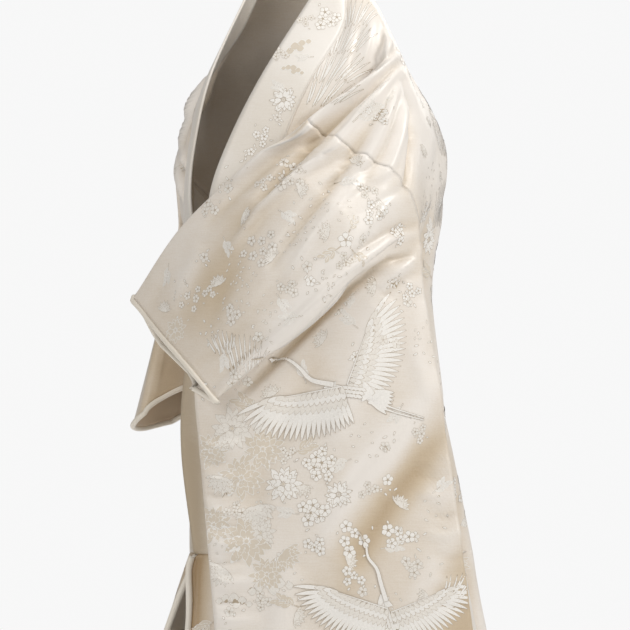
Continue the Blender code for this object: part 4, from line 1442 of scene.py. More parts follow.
@dataclass
class Brocade:
    """The woven figures of one cloth, laid on its outer side.

    Attributes:
        name: The piece's name.
        slot: The name of its material slot. Not used.
        under: How far the first darker rim lies over the cloth, in metres.
        over: How far a run's bright satin lies over its rim.
        layer: How much further out each next run of a figure lies.
        reach: How far from its own plane a figure may follow the cloth, in metres.
        near: The radius of the cloth that gives a figure its plane, in metres.
        facing: How far the cloth may turn from that plane, as a cosine.
        longest: The longest side that a face may have, in metres.
    """

    name: str
    slot: str = "silk_damask"
    under: float = 0.00014
    over: float = 0.00003
    layer: float = 0.000006
    reach: float = 0.07
    near: float = 0.02
    facing: float = 0.25
    longest: float = 0.011

    def build(self, sheet: Object, figures: Sequence[Figure],
              satins: dict[Tone, Material]) -> Object:
        """Lay the figures on a sheet.

        Args:
            sheet: The cloth that carries them.
            figures: The figures with their places.
            satins: The material of each tone.

        Returns:
            One object with all the figures.
        """
        graph = bpy.context.evaluated_depsgraph_get()
        body = bmesh.new()
        body.from_object(sheet, graph)
        tree = BVHTree.FromBMesh(body)
        body.free()
        points, faces, tones = [], [], []
        for figure in figures:
            self.lay(tree, figure, points, faces, tones)
        mesh = bpy.data.meshes.new(self.name)
        mesh.from_pydata(points, [], faces)
        for tone in Tone:
            mesh.materials.append(satins[tone])
        mesh.polygons.foreach_set("material_index", tones)
        mesh.polygons.foreach_set("use_smooth", [True] * len(faces))
        mesh.update()
        laid = linked(self.name, mesh)
        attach(laid, "root")
        LOG.info("%s: %d faces", self.name, len(faces))
        return laid

    def lay(self, tree: BVHTree, figure: Figure, points: list, faces: list,
            tones: list) -> None:
        """Lay one figure on the cloth that is seen at its place.

        Args:
            tree: The cloth's faces.
            figure: The figure.
            points: The mesh's points, which grow.
            faces: The mesh's faces, which grow.
            tones: The material number of each face, which grow.
        """
        right, toward = view_axes(figure.azimuth)
        eye = right * figure.across * CM + toward * 2.0
        eye.z = (figure.up - HOLD_HEIGHT) * CM
        spot, normal, _, _ = tree.ray_cast(eye, -toward)
        if spot is None:
            LOG.warning("%s: a figure at %.1f, %.1f misses the cloth", self.name,
                        figure.across, figure.up)
            return
        normal = self.mean_normal(tree, spot, normal)
        side = (right - normal * right.dot(normal)).normalized()
        rise = normal.cross(side)
        if rise.z < 0.0:
            rise = -rise
        for order, run in enumerate(figure.runs):
            lift = self.under + order * self.layer
            if run.rim > 0.0:
                self.strip(tree, spot, (side, rise, normal), run, run.rim, lift,
                           run.edge, points, faces, tones)
            self.strip(tree, spot, (side, rise, normal), run, 0.0, lift + self.over,
                       run.tone, points, faces, tones)

    def mean_normal(self, tree: BVHTree, spot: Vector, normal: Vector) -> Vector:
        """Return the mean direction of the cloth near a spot."""
        total = normal.copy()
        for face in tree.find_nearest_range(spot, self.near):
            if face[1].dot(normal) > 0.5:
                total += face[1] * 0.2
        return total.normalized()

    def strip(self, tree: BVHTree, spot: Vector, axes: tuple[Vector, Vector, Vector], run: Run,
              rim: float, lift: float, tone: Tone, points: list, faces: list,
              tones: list) -> None:
        """Add one run as a strip of faces on the cloth, where it reaches it."""
        side, rise, normal = axes
        count = len(run.line)
        rows = []
        for index, (x, y) in enumerate(run.line):
            before, after = run.line[max(index - 1, 0)], run.line[min(index + 1, count - 1)]
            dx, dy = after[0] - before[0], after[1] - before[1]
            span = hypot(dx, dy) or 1.0
            dx, dy = dx / span, dy / span
            half = run.half[index] + rim
            push = rim * (1 if index == count - 1 else -1 if index == 0 else 0)
            row = []
            for offset in (-half, 0.0, half):
                a = x + dx * push - dy * offset
                b = y + dy * push + dx * offset
                start = spot + (side * a + rise * b) * MM + normal * self.reach
                hit, face_normal, _, _ = tree.ray_cast(start, -normal, self.reach * 2)
                if hit is None or face_normal.dot(normal) < self.facing:
                    row.append(None)
                else:
                    row.append(len(points))
                    points.append(tuple(hit + face_normal * lift))
            rows.append(row)
        for first, second in zip(rows, rows[1:]):
            for column in (0, 1):
                corners = (first[column], second[column], second[column + 1], first[column + 1])
                if any(corner is None for corner in corners):
                    continue
                spots = [Vector(points[corner]) for corner in corners]
                if max((a - b).length for a, b in zip(spots, spots[1:])) > self.longest:
                    continue
                faces.append(corners)
                tones.append(tone.value)


def spread_figures(azimuth: float, low: Pair, high: Pair,
                   count: int, seed: int, size: float = 1.0) -> list[Figure]:
    """Return small figures, most of them faint, spread evenly over a rectangle of one view.

    Args:
        azimuth: The view's azimuth.
        low: The lowest corner, across and up, in centimetres.
        high: The highest corner.
        count: How many groups there are.
        seed: A number that sets their order and turns.
        size: Their scale.

    Returns:
        The figures.
    """
    figures = []
    for index in range(count):
        across = low[0] + (high[0] - low[0]) * ((index * 0.75488 + seed * 0.131) % 1.0)
        up = low[1] + (high[1] - low[1]) * ((index * 0.56984 + seed * 0.377) % 1.0)
        turn = (index * 137.5 + seed * 29.0) % 360.0
        shade = LIGHT if index % 4 == 0 else FAINT
        kind = (index + seed) % 5
        if kind == 0:
            runs = blossom(0, 0, 7.0 * size, turn, shade) + petals_adrift(0, 0, 16 * size, 5, index)
        elif kind == 1:
            runs = leaf_spray(0, 0, turn, 24.0 * size, 5, FAINT)
        elif kind == 2:
            runs = half_chrysanthemum(0, 0, 15.0 * size, turn, FAINT)
        elif kind == 3:
            runs = petals_adrift(0, 0, 20.0 * size, 8, index, shade, 4.5)
        else:
            runs = blossom_cluster(0, 0, 12.0 * size, 4, index, 6.0 * size, shade)
        figures.append(Figure(azimuth, across, up, runs))
    return figures


def sleeve_left_figures() -> list[Figure]:
    """Return the figures of the near sleeve, over its arm and down both hanging layers."""
    bird = crane(0, 0, 0, 215, wing_turns=(70, 190))
    rising = crane(0, 0, -66, 190, wing_turns=(88, 228),
                   neck=((0, 0), (-0.12, 0.015), (-0.22, 0.03), (-0.31, 0.01), (-0.39, 0.03)))
    figures = spread_figures(PHOTO_AZIMUTH, (-13, 56), (16, 102), 54, 3)
    figures += spread_figures(PHOTO_AZIMUTH, (-19, 96), (12, 118), 40, 7)
    figures += spread_figures(PHOTO_AZIMUTH, (-11, 14), (22, 56), 38, 5)
    figures += photo_figures(
        (343, 388, bird),
        (384, 604, rising),
        (345, 242, blossom(0, 0, 10, 20) + leaf_spray(-6, -8, 215, 26)
         + leaf_spray(6, -10, 320, 24) + leaf_spray(4, 10, 60, 20, 4)),
        (248, 372, reeds, 92, 46),
        (226, 352, reeds, 100, 30, 8),
        (292, 178, blossom_cluster, 20, 7, 2, 6.5, FAINT),
        (262, 250, blossom_cluster, 26, 8, 5, 6, FAINT),
        (240, 300, petals_adrift, 30, 16, 4, FAINT),
        (195, 300, blossom_cluster, 20, 5, 6, 6, FAINT),
        (318, 205, petals_adrift, 26, 12, 8, FAINT),
        (372, 215, blossom_cluster, 17, 5, 9, 6),
        (300, 235, petals_adrift, 24, 10, 12, LIGHT, 4),
        (178, 330, chrysanthemum, 17, 8, 2, MID),
        (212, 330, petals_adrift, 20, 9, 14),
        (213, 448, chrysanthemum, 22, 30, 3, MID),
        (243, 474, chrysanthemum, 27, 40, 3, MID),
        (216, 520, chrysanthemum, 24, 22, 3, MID),
        (262, 528, chrysanthemum, 20, 9, 3, FAINT),
        (234, 426, chrysanthemum, 27, 5, 3, FAINT),
        (264, 446, chrysanthemum, 26, 20, 3, MID),
        (226, 474, half_chrysanthemum, 25, 250, FAINT),
        (284, 480, chrysanthemum, 23, 2),
        (256, 502, half_chrysanthemum, 29, 285, FAINT),
        (248, 536, chrysanthemum, 31, 12, 3, MID),
        (225, 562, half_chrysanthemum, 25, 235, FAINT),
        (268, 568, chrysanthemum, 22, 16, 3, MID),
        (283, 548, half_chrysanthemum, 24, 320, MID),
        (262, 410, leaf_spray, 150, 34, 6),
        (292, 452, leaf_spray, 30, 32, 6),
        (232, 508, leaf_spray, 205, 28, 6),
        (272, 582, cloud, 58, 8),
        (236, 596, cloud, 46, -6),
        (320, 462, blossom_cluster, 21, 9, 1, 8),
        (338, 490, chrysanthemum, 17, 15, 2),
        (314, 508, blossom_cluster, 17, 6, 3, 8),
        (386, 476, blossom(0, 0, 8, 10) + petals_adrift(2, -16, 9, 4, 2)),
        (352, 532, blossom_cluster, 22, 5, 7, 7.5),
        (396, 532, blossom_cluster, 17, 5, 11, 8),
        (352, 572, blossom_cluster, 14, 4, 13, 7),
        (416, 560, petals_adrift, 24, 9, 15, FAINT),
        (424, 350, petals_adrift, 22, 8, 5),
        (408, 292, blossom_cluster, 13, 4, 17, 6),
        (434, 505, petals_adrift, 24, 9, 21, FAINT),
        (366, 440, petals_adrift, 30, 10, 23, LIGHT, 4),
        (300, 600, leaf_spray(0, 0, 20, 34, 7) + leaf_spray(0, 0, 160, 30, 6)),
        (452, 590, reeds, 60, 34, 9),
    )
    for index, (across, up) in enumerate(((2, 47), (9.5, 41), (17, 46), (-6, 40),
                                          (3, 32), (14, 31), (21, 36), (-4, 25),
                                          (9, 22), (19, 22), (2, 17))):
        flower = (chrysanthemum(0, 0, 30 - index % 3 * 4, index * 9) if index % 2 else
                  half_chrysanthemum(0, 0, 28, 250 + index * 12, MID))
        figures.append(Figure(PHOTO_AZIMUTH, across, up, flower))
        figures.append(Figure(PHOTO_AZIMUTH, across + 3.6, up - 3.6,
                              blossom_cluster(0, 0, 15, 4, index, 7.5)))
    for index, (across, up) in enumerate(((-5, 84), (2, 76), (-8, 62), (3, 52),
                                          (-4, 40), (4, 28))):
        runs = (crane(0, 0, 12, 170, flip=True) if index in (1, 4) else
                chrysanthemum(0, 0, 28, index * 13) + blossom_cluster(34, -26, 16, 5, index))
        figures.append(Figure(230, across, up, runs))
    return figures


def body_left_figures() -> list[Figure]:
    """Return the figures of the left body length, front, shoulder and back."""
    figures = spread_figures(180, (-17, 14), (-2, 132), 22, 4)
    figures += spread_figures(96, (0, 104), (14, 130), 16, 6)
    figures += photo_figures(
        (322, 108, reeds, 52, 46, 12),
        (330, 84, reeds, 58, 50, 13),
        (340, 56, reeds, 66, 48, 12),
        (352, 28, reeds, 76, 40, 10),
    )
    figures += [Figure(96, 10.5, 117, reeds(0, 0, 96, 56, 13)),
                Figure(96, 10, 108, reeds(0, 0, 84, 60, 13))]
    figures += photo_figures(
        (352, 126, leaf_spray, 48, 40, 8, FAINT),
        (384, 112, leaf_spray, 80, 34, 7, FAINT),
        (374, 118, blossom_cluster, 14, 4, 4, 6),
        (424, 214, blossom_cluster, 14, 5, 8, 7),
        (428, 240, chrysanthemum, 19, 6, 2),
    )
    figures += strewn(180, 0, (-5.5, 128)) + strewn(180, 2, (-9.5, 116))
    figures += strewn(180, 2, (-5, 108), (-10.5, 100), (-5.5, 92), (-13.5, 83),
                      (-5.5, 70), (-14, 62), (-6, 50), (-15, 41), (-7, 30),
                      (-18, 22))
    return figures + strewn(0, 3, (12, 84), (13, 68), (12.5, 48), (15, 30))


def strewn(azimuth: float, first: int, *places: Pair) -> list[Figure]:
    """Return mixed groups at places of one view, their kinds counted on from the first."""
    return [Figure(azimuth, across, up, scattered(index))
            for index, (across, up) in enumerate(places, first)]


def scattered(index: int) -> list[Run]:
    """Return one of a few mixed groups of flowers, clouds and birds."""
    kind = index % 4
    if kind == 0:
        return (chrysanthemum(0, 0, 31, index * 7)
                + chrysanthemum(46, -18, 24, 3, 3, MID)
                + leaf_spray(-26, -26, 220, 34, 6) + blossom_cluster(6, -48, 18, 6, index))
    if kind == 1:
        return crane(0, 0, -24, 145, flip=bool(index % 8 > 3), wing_turns=(66, 136))
    if kind == 2:
        return (cloud(0, 0, 70, 5) + blossom_cluster(-10, 34, 22, 7, index)
                + petals_adrift(20, -34, 26, 10, index))
    return (half_chrysanthemum(0, 0, 32, 262)
            + half_chrysanthemum(36, 16, 26, 300, MID)
            + leaf_spray(-20, 10, 160, 36, 6) + blossom_cluster(20, 46, 18, 6, index))


def body_right_figures() -> list[Figure]:
    """Return the figures of the right body length."""
    figures = spread_figures(180, (2, 14), (17, 132), 22, 8)
    figures += spread_figures(0, (-20, 20), (-10, 126), 22, 2)
    figures += strewn(180, 1, (6.5, 124), (13, 114), (5.5, 104), (13, 94),
                      (5, 82), (13.5, 72), (6, 60), (14.5, 50), (6.5, 40),
                      (17, 30), (8, 20))
    return figures + strewn(0, 2, (-12.5, 126), (-12, 96), (-12, 80),
                            (-12.5, 62), (-14, 44), (-16, 28))


def sleeve_right_figures() -> list[Figure]:
    """Return the figures of the far sleeve."""
    figures = spread_figures(285, (-20, 16), (6, 108), 40, 9)
    figures += strewn(285, 0, (2, 100), (-6, 90), (-1, 74), (-13, 70),
                      (-7, 56), (-18, 50), (-11, 40), (-3, 33), (-16, 26))
    return figures + strewn(0, 2, (-20, 76), (-22, 60), (-23, 42), (-25, 26))


def okumi_figures(side: Side) -> list[Figure]:
    """Return the figures of one overlap panel."""
    return [Figure(0, side.value * across, up, scattered(2 + index % 2 * 2))
            for index, (across, up) in enumerate(((6.5, 60), (7.5, 46), (8.5, 33),
                                                  (10, 20)), side is Side.LEFT)]


def collar_figures() -> list[Figure]:
    """Return the figures of the collar."""
    figures = spread_figures(PHOTO_AZIMUTH, (-12, 108), (3, 137), 20, 2, size=0.8)
    return figures + photo_figures(
        (298, 52, cloud, 40, 35, MID),
        (293, 74, cloud, 30, -20, MID),
        (284, 103, chrysanthemum, 17, 10, 2),
        (326, 22, blossom_cluster, 15, 5, 3, 6.5),
        (262, 140, blossom_cluster, 13, 4, 6, 6),
        (243, 172, petals_adrift, 18, 8, 4),
    ) + [
        Figure(310, -9, 131, blossom_cluster(0, 0, 15, 5, 8, 6.5)),
        Figure(310, -7.5, 122, chrysanthemum(0, 0, 17, 10, 2)),
        Figure(0, -4.8, 100, chrysanthemum(0, 0, 18, 4, 2)),
        Figure(0, 4.6, 92, blossom_cluster(0, 0, 15, 5, 5, 7)),
        Figure(0, -3.6, 82, blossom_cluster(0, 0, 15, 5, 2, 7)),
        Figure(0, 3.8, 76, chrysanthemum(0, 0, 18, 14, 2)),
    ]


@dataclass(frozen=True)
class Value:
    """A shader socket that carries a number or a colour, with Python's operators."""

    graph: "Graph"
    socket: NodeSocket

    def math(self, operation: str, *others: "Value | float") -> "Value":
        """Return a Math node's value of this one and the others."""
        return self.graph.math(operation, self, *others)

    def __add__(self, other: "Value | float") -> "Value":
        """Return the sum."""
        return self.math("ADD", other)

    def __radd__(self, other: float) -> "Value":
        """Return the sum, with the number first."""
        return self.graph.math("ADD", other, self)

    def __sub__(self, other: "Value | float") -> "Value":
        """Return the difference."""
        return self.math("SUBTRACT", other)

    def __rsub__(self, other: float) -> "Value":
        """Return the difference, with the number first."""
        return self.graph.math("SUBTRACT", other, self)

    def __mul__(self, other: "Value | float") -> "Value":
        """Return the product."""
        return self.math("MULTIPLY", other)

    def __rmul__(self, other: float) -> "Value":
        """Return the product, with the number first."""
        return self.graph.math("MULTIPLY", other, self)

    def ramp(self, low: float, high: float) -> "Value":
        """Return a smooth step from 0 at low to 1 at high."""
        return self.graph.node("ShaderNodeMapRange", {"interpolation_type": "SMOOTHSTEP"},
                               {"Value": self, "From Min": low, "From Max": high})


@dataclass
class Graph:
    """The shader of one material, made node by node."""

    material: Material

    @classmethod
    def named(cls, name: str) -> "Graph":
        """Return the plain shader of a new material."""
        material = bpy.data.materials.new(name)
        material.use_nodes = True
        return cls(material)

    def node(self, kind: str, settings: dict, inputs: dict, output: str | int = 0) -> Value:
        """Make a node of any kind.

        Args:
            kind: The node's type.
            settings: Properties of the node, which are set first.
            inputs: Values or links by socket name or number.
            output: The socket that is returned.

        Returns:
            The output socket.
        """
        made = self.material.node_tree.nodes.new(kind)
        for name, value in settings.items():
            setattr(made, name, value)
        for name, value in inputs.items():
            if isinstance(value, Value):
                self.material.node_tree.links.new(value.socket, made.inputs[name])
            else:
                made.inputs[name].default_value = value
        return Value(self, made.outputs[output])

    def math(self, operation: str, *values: Value | float) -> Value:
        """Return a Math node's value."""
        return self.node("ShaderNodeMath", {"operation": operation}, dict(enumerate(values)))

    def mix(self, share: Value | float, first: Value | tuple, second: Value | tuple) -> Value:
        """Return a mix of two colours."""
        inputs = {0: share, 6: first, 7: second}
        return self.node("ShaderNodeMix", {"data_type": "RGBA"}, inputs, 2)

    def noise(self, place: Value, scale: float, detail: float) -> Value:
        """Return a noise between 0 and 1 at a place."""
        return self.node("ShaderNodeTexNoise", {}, {"Vector": place, "Scale": scale,
                                                    "Detail": detail})

    def bump(self, height: Value) -> Value:
        """Return the normal of a relief whose height is in metres."""
        return self.node("ShaderNodeBump", {}, {"Height": height, "Distance": 1.0,
                                                "Strength": 1.0})

    def finish(self, shader: dict) -> None:
        """Join the results to the Principled shader's sockets."""
        node = self.material.node_tree.nodes["Principled BSDF"]
        for name, value in shader.items():
            if isinstance(value, Value):
                self.material.node_tree.links.new(value.socket, node.inputs[name])
            else:
                node.inputs[name].default_value = value


@dataclass(frozen=True)
class SatinFinish:
    """A satin silk.

    Attributes:
        name: The material's name.
        light: The colour of the satin's lighter random tone and of its painted highlights.
        shade: The colour of its darker random tone and of its painted shade.
        roughness: The middle roughness.
        relief: The depth of its ripples, in metres.
        sheen: How strongly it shines at its edges.
    """

    name: str
    light: Colour
    shade: Colour
    roughness: float = 0.42
    relief: float = 0.0004
    sheen: float = 0.25

    def build(self) -> Material:
        """Make the material."""
        graph = Graph.named(self.name)
        where = graph.node("ShaderNodeTexCoord", {}, {}, "Object")
        cloudy = graph.noise(where, 6.0, 4.0)
        slubs = graph.node("ShaderNodeMapping", {}, {"Vector": where, "Scale": (60, 60, 900)})
        slub = graph.noise(slubs, 1.0, 2.0)
        # The nap attribute: painted shade in troughs and shade bands, painted highlights on ridges
        # and light bands.
        nap = graph.node("ShaderNodeAttribute", {"attribute_name": "nap"}, {}, "Fac")
        grain = graph.noise(where, 520.0, 2.0)
        # Random tone from the noises, added to the painted shading.
        tone_and_shading = cloudy.ramp(0.32, 0.68) * 0.30 + slub * 0.2 + grain * 0.25 + nap * 0.8 + 0.26
        colour = graph.mix(tone_and_shading.ramp(0.0, 1.0), self.shade, self.light)
        # Where the painted shade runs deepest, a third and darker colour: painted deep shade.
        painted_deep_shade = tuple(channel ** 1.9 for channel in self.shade[:3]) + (1.0,)
        colour = graph.mix(tone_and_shading.ramp(-0.7, 0.25), painted_deep_shade, colour)
        rough = self.roughness + (cloudy - 0.5) * 0.10 + (slub - 0.5) * 0.08
        ripple = graph.noise(where, 38.0, 3.0) * self.relief + slub * 0.00004
        graph.finish({"Base Color": colour, "Roughness": rough, "Normal": graph.bump(ripple),
                      "Sheen Weight": self.sheen, "Sheen Roughness": 0.35,
                      "Specular IOR Level": 0.45})
        return graph.material


# Each light colour is also painted highlight and each shade colour painted shade, where the nap
# attribute drives the mix; elsewhere they mix as random tone.
SILK = SatinFinish("satin_damask", (0.885, 0.84, 0.79, 1.0), (0.65, 0.54, 0.40, 1.0), 0.34)
COLLAR_SILK = SatinFinish("satin_collar", (0.88, 0.845, 0.80, 1.0), (0.70, 0.63, 0.53, 1.0), 0.38)
ROLL_SILK = SatinFinish("satin_roll", (0.88, 0.83, 0.75, 1.0), (0.78, 0.71, 0.60, 1.0))
# The lining's brown colours are painted shade inside the far sleeve's mouth.
LINING_PAINTED_SHADE_SILK = SatinFinish("satin_lining_painted_shade", (0.68, 0.56, 0.43, 1.0), (0.55, 0.43, 0.31, 1.0),
                          0.55, 0.0003, 0.1)


@dataclass(frozen=True)
class FigureFinish:
    """The satin of a woven figure.

    Attributes:
        name: The material's name.
        colour: The thread's colour.
        roughness: How dull the satin is.
    """

    name: str
    colour: Colour
    roughness: float

    def build(self) -> Material:
        """Make the material."""
        graph = Graph.named(self.name)
        where = graph.node("ShaderNodeTexCoord", {}, {}, "Object")
        cloudy = graph.noise(where, 9.0, 3.0)
        thread = graph.noise(where, 420.0, 2.0)
        shade = tuple(channel * 0.90 for channel in self.colour[:3]) + (1.0,)
        colour = graph.mix(cloudy.ramp(0.35, 0.65) * 0.6 + thread * 0.4, shade, self.colour)
        graph.finish({"Base Color": colour, "Roughness": self.roughness + (thread - 0.5) * 0.08,
                      "Normal": graph.bump(thread * 0.00012), "Sheen Weight": 0.2,
                      "Sheen Roughness": 0.3, "Specular IOR Level": 0.6})
        return graph.material


FIGURE_SATINS = {
    LIGHT: FigureFinish("figure_light", (0.96, 0.935, 0.895, 1.0), 0.27),
    MID: FigureFinish("figure_mid", (0.755, 0.675, 0.565, 1.0), 0.34),
    DARK: FigureFinish("figure_outline", (0.50, 0.41, 0.30, 1.0), 0.60),
    FAINT: FigureFinish("figure_faint", (0.90, 0.86, 0.80, 1.0), 0.27),
}


@dataclass
class Studio:
    """The pale floor, the soft lights and the camera of the main view.

    Attributes:
        azimuth: The main view's azimuth in degrees.
        distance: How far the camera stands from the cloth, in metres.
        width: The width that the picture shows, in metres.
        centre: The middle of the picture, across that view and up, in centimetres.
        glow: How strongly the sky lights the cloth.
        floor_width: The width of the floor, in metres.
        sensor: The width of the camera's sensor, in millimetres.
    """

    azimuth: float = PHOTO_AZIMUTH
    distance: float = 9.0
    width: float = 0.8129
    centre: Pair = (0.645, 96.355)
    glow: float = 0.26
    floor_width: float = 14.0
    sensor: float = 36.0

    def build(self) -> None:
        """Place the floor, the lights and the camera."""
        self.floor()
        for facts in (("key", (2.4, 0.9, 1.9), 1.2, 64.0), ("front", (0.9, -3.4, 1.2), 2.2, 32.0),
                      ("back", (-1.8, 3.4, 1.6), 2.4, 34.0), ("top", (0.2, -0.5, 2.7), 2.0, 24.0)):
            self.light(*facts)
        self.world()
        self.camera()

    def floor(self) -> None:
        """Lay a plain pale floor under the hem."""
        bpy.ops.mesh.primitive_plane_add(size=self.floor_width,
                                         location=(0.0, 0.0, -HOLD_HEIGHT * CM - 0.002))
        plane = bpy.context.object
        plane.name = "floor"
        graph = Graph.named("pale_floor")
        graph.finish({"Base Color": (0.93, 0.93, 0.93, 1.0), "Roughness": 0.9,
                      "Emission Color": (1.0, 0.99, 0.97, 1.0), "Emission Strength": 0.20})
        plane.data.materials.append(graph.material)

    def light(self, name: str, place: Point, size: float,
              power: float) -> None:
        """Hang a soft square light that looks at the chest."""
        lamp = bpy.data.lights.new(name, "AREA")
        lamp.size = size
        lamp.energy = power
        lamp.color = (1.0, 0.985, 0.96)
        holder = linked(name, lamp)
        holder.location = place
        aim = Vector((0.0, -0.1, -0.35)) - Vector(place)
        holder.rotation_euler = aim.to_track_quat("-Z", "Y").to_euler()

    def world(self) -> None:
        """Light the scene evenly with a near-white sky."""
        world = bpy.data.worlds.new("studio")
        world.use_nodes = True
        graph = world.node_tree
        sky = graph.nodes["Background"]
        sky.inputs[0].default_value = (0.935, 0.935, 0.935, 1.0)
        glow = graph.nodes.new("ShaderNodeBackground")
        glow.inputs[0].default_value = (1.0, 0.97, 0.93, 1.0)
        glow.inputs[1].default_value = self.glow
        path = graph.nodes.new("ShaderNodeLightPath")
        mix = graph.nodes.new("ShaderNodeMixShader")
        graph.links.new(path.outputs["Is Camera Ray"], mix.inputs[0])
        graph.links.new(glow.outputs[0], mix.inputs[1])
        graph.links.new(sky.outputs[0], mix.inputs[2])
        graph.links.new(mix.outputs[0], graph.nodes["World Output"].inputs[0])
        bpy.context.scene.world = world
        bpy.context.scene.view_settings.view_transform = "Standard"

    def camera(self) -> None:
        """Set the long lens of the main view."""
        across, up = self.centre
        right, toward = view_axes(self.azimuth)
        middle = right * across * CM + Vector((0.0, 0.0, (up - HOLD_HEIGHT) * CM))
        lens = bpy.data.cameras.new("main")
        lens.sensor_width = self.sensor
        lens.lens = self.sensor * self.distance / self.width
        lens.clip_end = 100.0
        camera = linked("main", lens)
        camera.location = middle + toward * self.distance
        camera.rotation_euler = (-toward).to_track_quat("-Z", "Y").to_euler()
        bpy.context.scene.camera = camera


SHOULDER_CREASES = photo_creases(
    (399, 48, 376, 73, 352, 93, 318, 117, 290, 137, 262, 156, 234, 178, 3, -0.80),
    (399, 55, 376, 79, 352, 99, 318, 123, 290, 143, 262, 162, 234, 184, 3.2, 1.55),
    (399, 65, 374, 89, 350, 109, 324, 135, 300, 159, 281, 179, 258, 205, 3.6, -1.45),
    (399, 71, 380, 95, 360, 117, 343, 141, 318, 164, 290, 186, 262, 212, 230, 256, 3.6, 1.15),
    (400, 78, 386, 103, 371, 125, 356, 150, 334, 184, 304, 222, 270, 270, 4.2, -1.00),
    (401, 80, 392, 106, 381, 132, 368, 158, 346, 192, 3.4, 0.60),
    (401, 82, 397, 110, 389, 138, 378, 164, 358, 198, 3.2, -0.65),
    (402, 84, 404, 112, 399, 140, 390, 170, 380, 196, 3.4, 0.60),
    (401, 80, 409, 112, 412, 140, 408, 172, 406, 200, 3.4, -1.30),
    (408, 84, 420, 112, 427, 142, 424, 178, 6, 0.50),
)
SLEEVE_LEFT_CREASES = SHOULDER_CREASES + photo_creases(
    (300, 144, 270, 170, 238, 198, 206, 232, 4.6, -0.45),
    (362, 176, 338, 206, 310, 244, 284, 286, 5.5, 0.50),
    (396, 196, 358, 236, 318, 288, 262, 346, 15, 0.95),
    (398, 190, 378, 212, 356, 240, 4.5, 0.35),
    (414, 222, 388, 232, 354, 252, 320, 286, 5, -0.45),
    (418, 234, 386, 241, 345, 271, 300, 316, 220, 390, 4.8, 1.15),
    (420, 254, 388, 262, 350, 290, 312, 326, 240, 396, 4.2, -1.35),
    (424, 246, 406, 264, 378, 290, 4, 0.60),
    (420, 270, 400, 280, 372, 306, 4, -0.35),
    (205, 245, 190, 280, 176, 316, 9, 0.45),
    (238, 262, 222, 300, 206, 340, 8, -0.35),
    (250, 322, 222, 348, 196, 366, 6, -0.30),
    (170, 268, 160, 296, 152, 312, 5, -0.22),
    (452, 415, 424, 452, 388, 500, 350, 562, 15, -1.10),
    (440, 372, 398, 430, 352, 482, 316, 545, 12, 0.75),
    (478, 505, 436, 552, 398, 622, 12, 0.60),
    (330, 330, 300, 400, 262, 470, 240, 560, 15, -0.60),
    (384, 296, 356, 376, 330, 440, 13, 0.60),
    (300, 560, 284, 600, 276, 640, 13, 0.45),
    (420, 300, 414, 350, 424, 400, 9, 0.35),
    (200, 440, 220, 446, 246, 441, 4, 0.26),
    (201, 456, 216, 460, 232, 458, 3, -0.24),
    (202, 472, 226, 477, 254, 472, 4.2, 0.32),
    (203, 488, 219, 492, 236, 489, 3.2, -0.28),
    (204, 503, 226, 509, 260, 505, 4.4, 0.36),
    (206, 520, 222, 524, 240, 521, 3.2, -0.30),
    (207, 535, 230, 541, 250, 536, 4, 0.30),
    (208, 553, 224, 558, 244, 556, 3.4, -0.26),
    (210, 571, 232, 578, 268, 573, 4.6, 0.34),
    (212, 592, 228, 596, 248, 594, 3.4, -0.28),
    (214, 610, 236, 616, 262, 611, 4.2, 0.32),
    (446, 452, 432, 458, 414, 455, 3.6, 0.24),
    (449, 470, 434, 475, 412, 471, 3.4, -0.24),
    (454, 488, 438, 494, 414, 490, 4.2, 0.30),
    (457, 508, 442, 512, 424, 509, 3.2, -0.24),
    (460, 526, 444, 532, 416, 528, 4.2, 0.30),
    (464, 548, 448, 553, 426, 550, 3.6, -0.24),
    (468, 570, 450, 577, 424, 572, 4.4, 0.30),
    (472, 596, 456, 602, 430, 599, 4, -0.24),
)
BACK_CREASES = view_creases(
    180,
    (-4, 127, -7, 118, -12, 109, 0.9, -0.32),
    (-3, 120, -8, 110, -14, 103, 1, 0.38),
    (-16, 113, -15, 105, -16, 95, 0.9, -0.45),
    (-11, 98, -12, 84, -11, 72, 1.1, 0.40),
    (-6, 92, -6.5, 62, -8, 34, -9, 12, 1.7, 0.60),
    (-10, 86, -11, 62, -13, 38, -15, 14, 2, -0.75),
    (-14.5, 80, -16, 56, -19, 26, 1.7, 0.70),
) + view_creases(
    120,
    (6, 84, 8, 58, 14, 26, 1.9, -0.70),
    (12, 70, 16, 44, 24, 20, 1.6, 0.55),
)
BODY_LEFT_CREASES = SHOULDER_CREASES + BACK_CREASES + photo_creases(
    (383, 26, 380, 48, 373, 68, 2.8, -0.45),
    (390, 36, 387, 50, 381, 64, 2.6, 0.30),
    (373, 20, 368, 44, 361, 72, 3.2, 0.40),
    (362, 22, 356, 48, 348, 76, 3.2, -0.36),
    (436, 200, 430, 240, 424, 290, 6, -0.40),
) + view_creases(
    0,
    (13, 74, 14, 50, 17, 18, 1.8, 0.70),
    (17, 66, 19, 44, 22, 16, 1.6, -0.65),
)
OKUMI_CREASES = photo_creases(
    (203, 520, 197, 580, 190, 660, 4.5, -0.55),
    (198, 520, 188, 580, 178, 660, 4.5, 0.50),
) + view_creases(
    0,
    (6.5, 62, 8, 40, 9.5, 14, 1.3, -0.45),
    (9.5, 54, 10.5, 34, 12.5, 16, 1.1, 0.35),
)
SLEEVE_LEFT_HIDDEN = view_creases(
    PHOTO_AZIMUTH,
    (2, 52, 0, 36, 1, 18, 2, 0.60),
    (10, 50, 9, 34, 11, 18, 1.7, -0.60),
    (18, 47, 17, 34, 19, 20, 1.5, 0.45),
) + view_creases(
    230,
    (-4, 98, -2, 80, -3, 58, 1.5, 0.55),
    (2, 90, 4, 64, 3, 34, 1.8, -0.65),
    (8, 68, 7, 42, 9, 20, 1.9, 0.55),
)
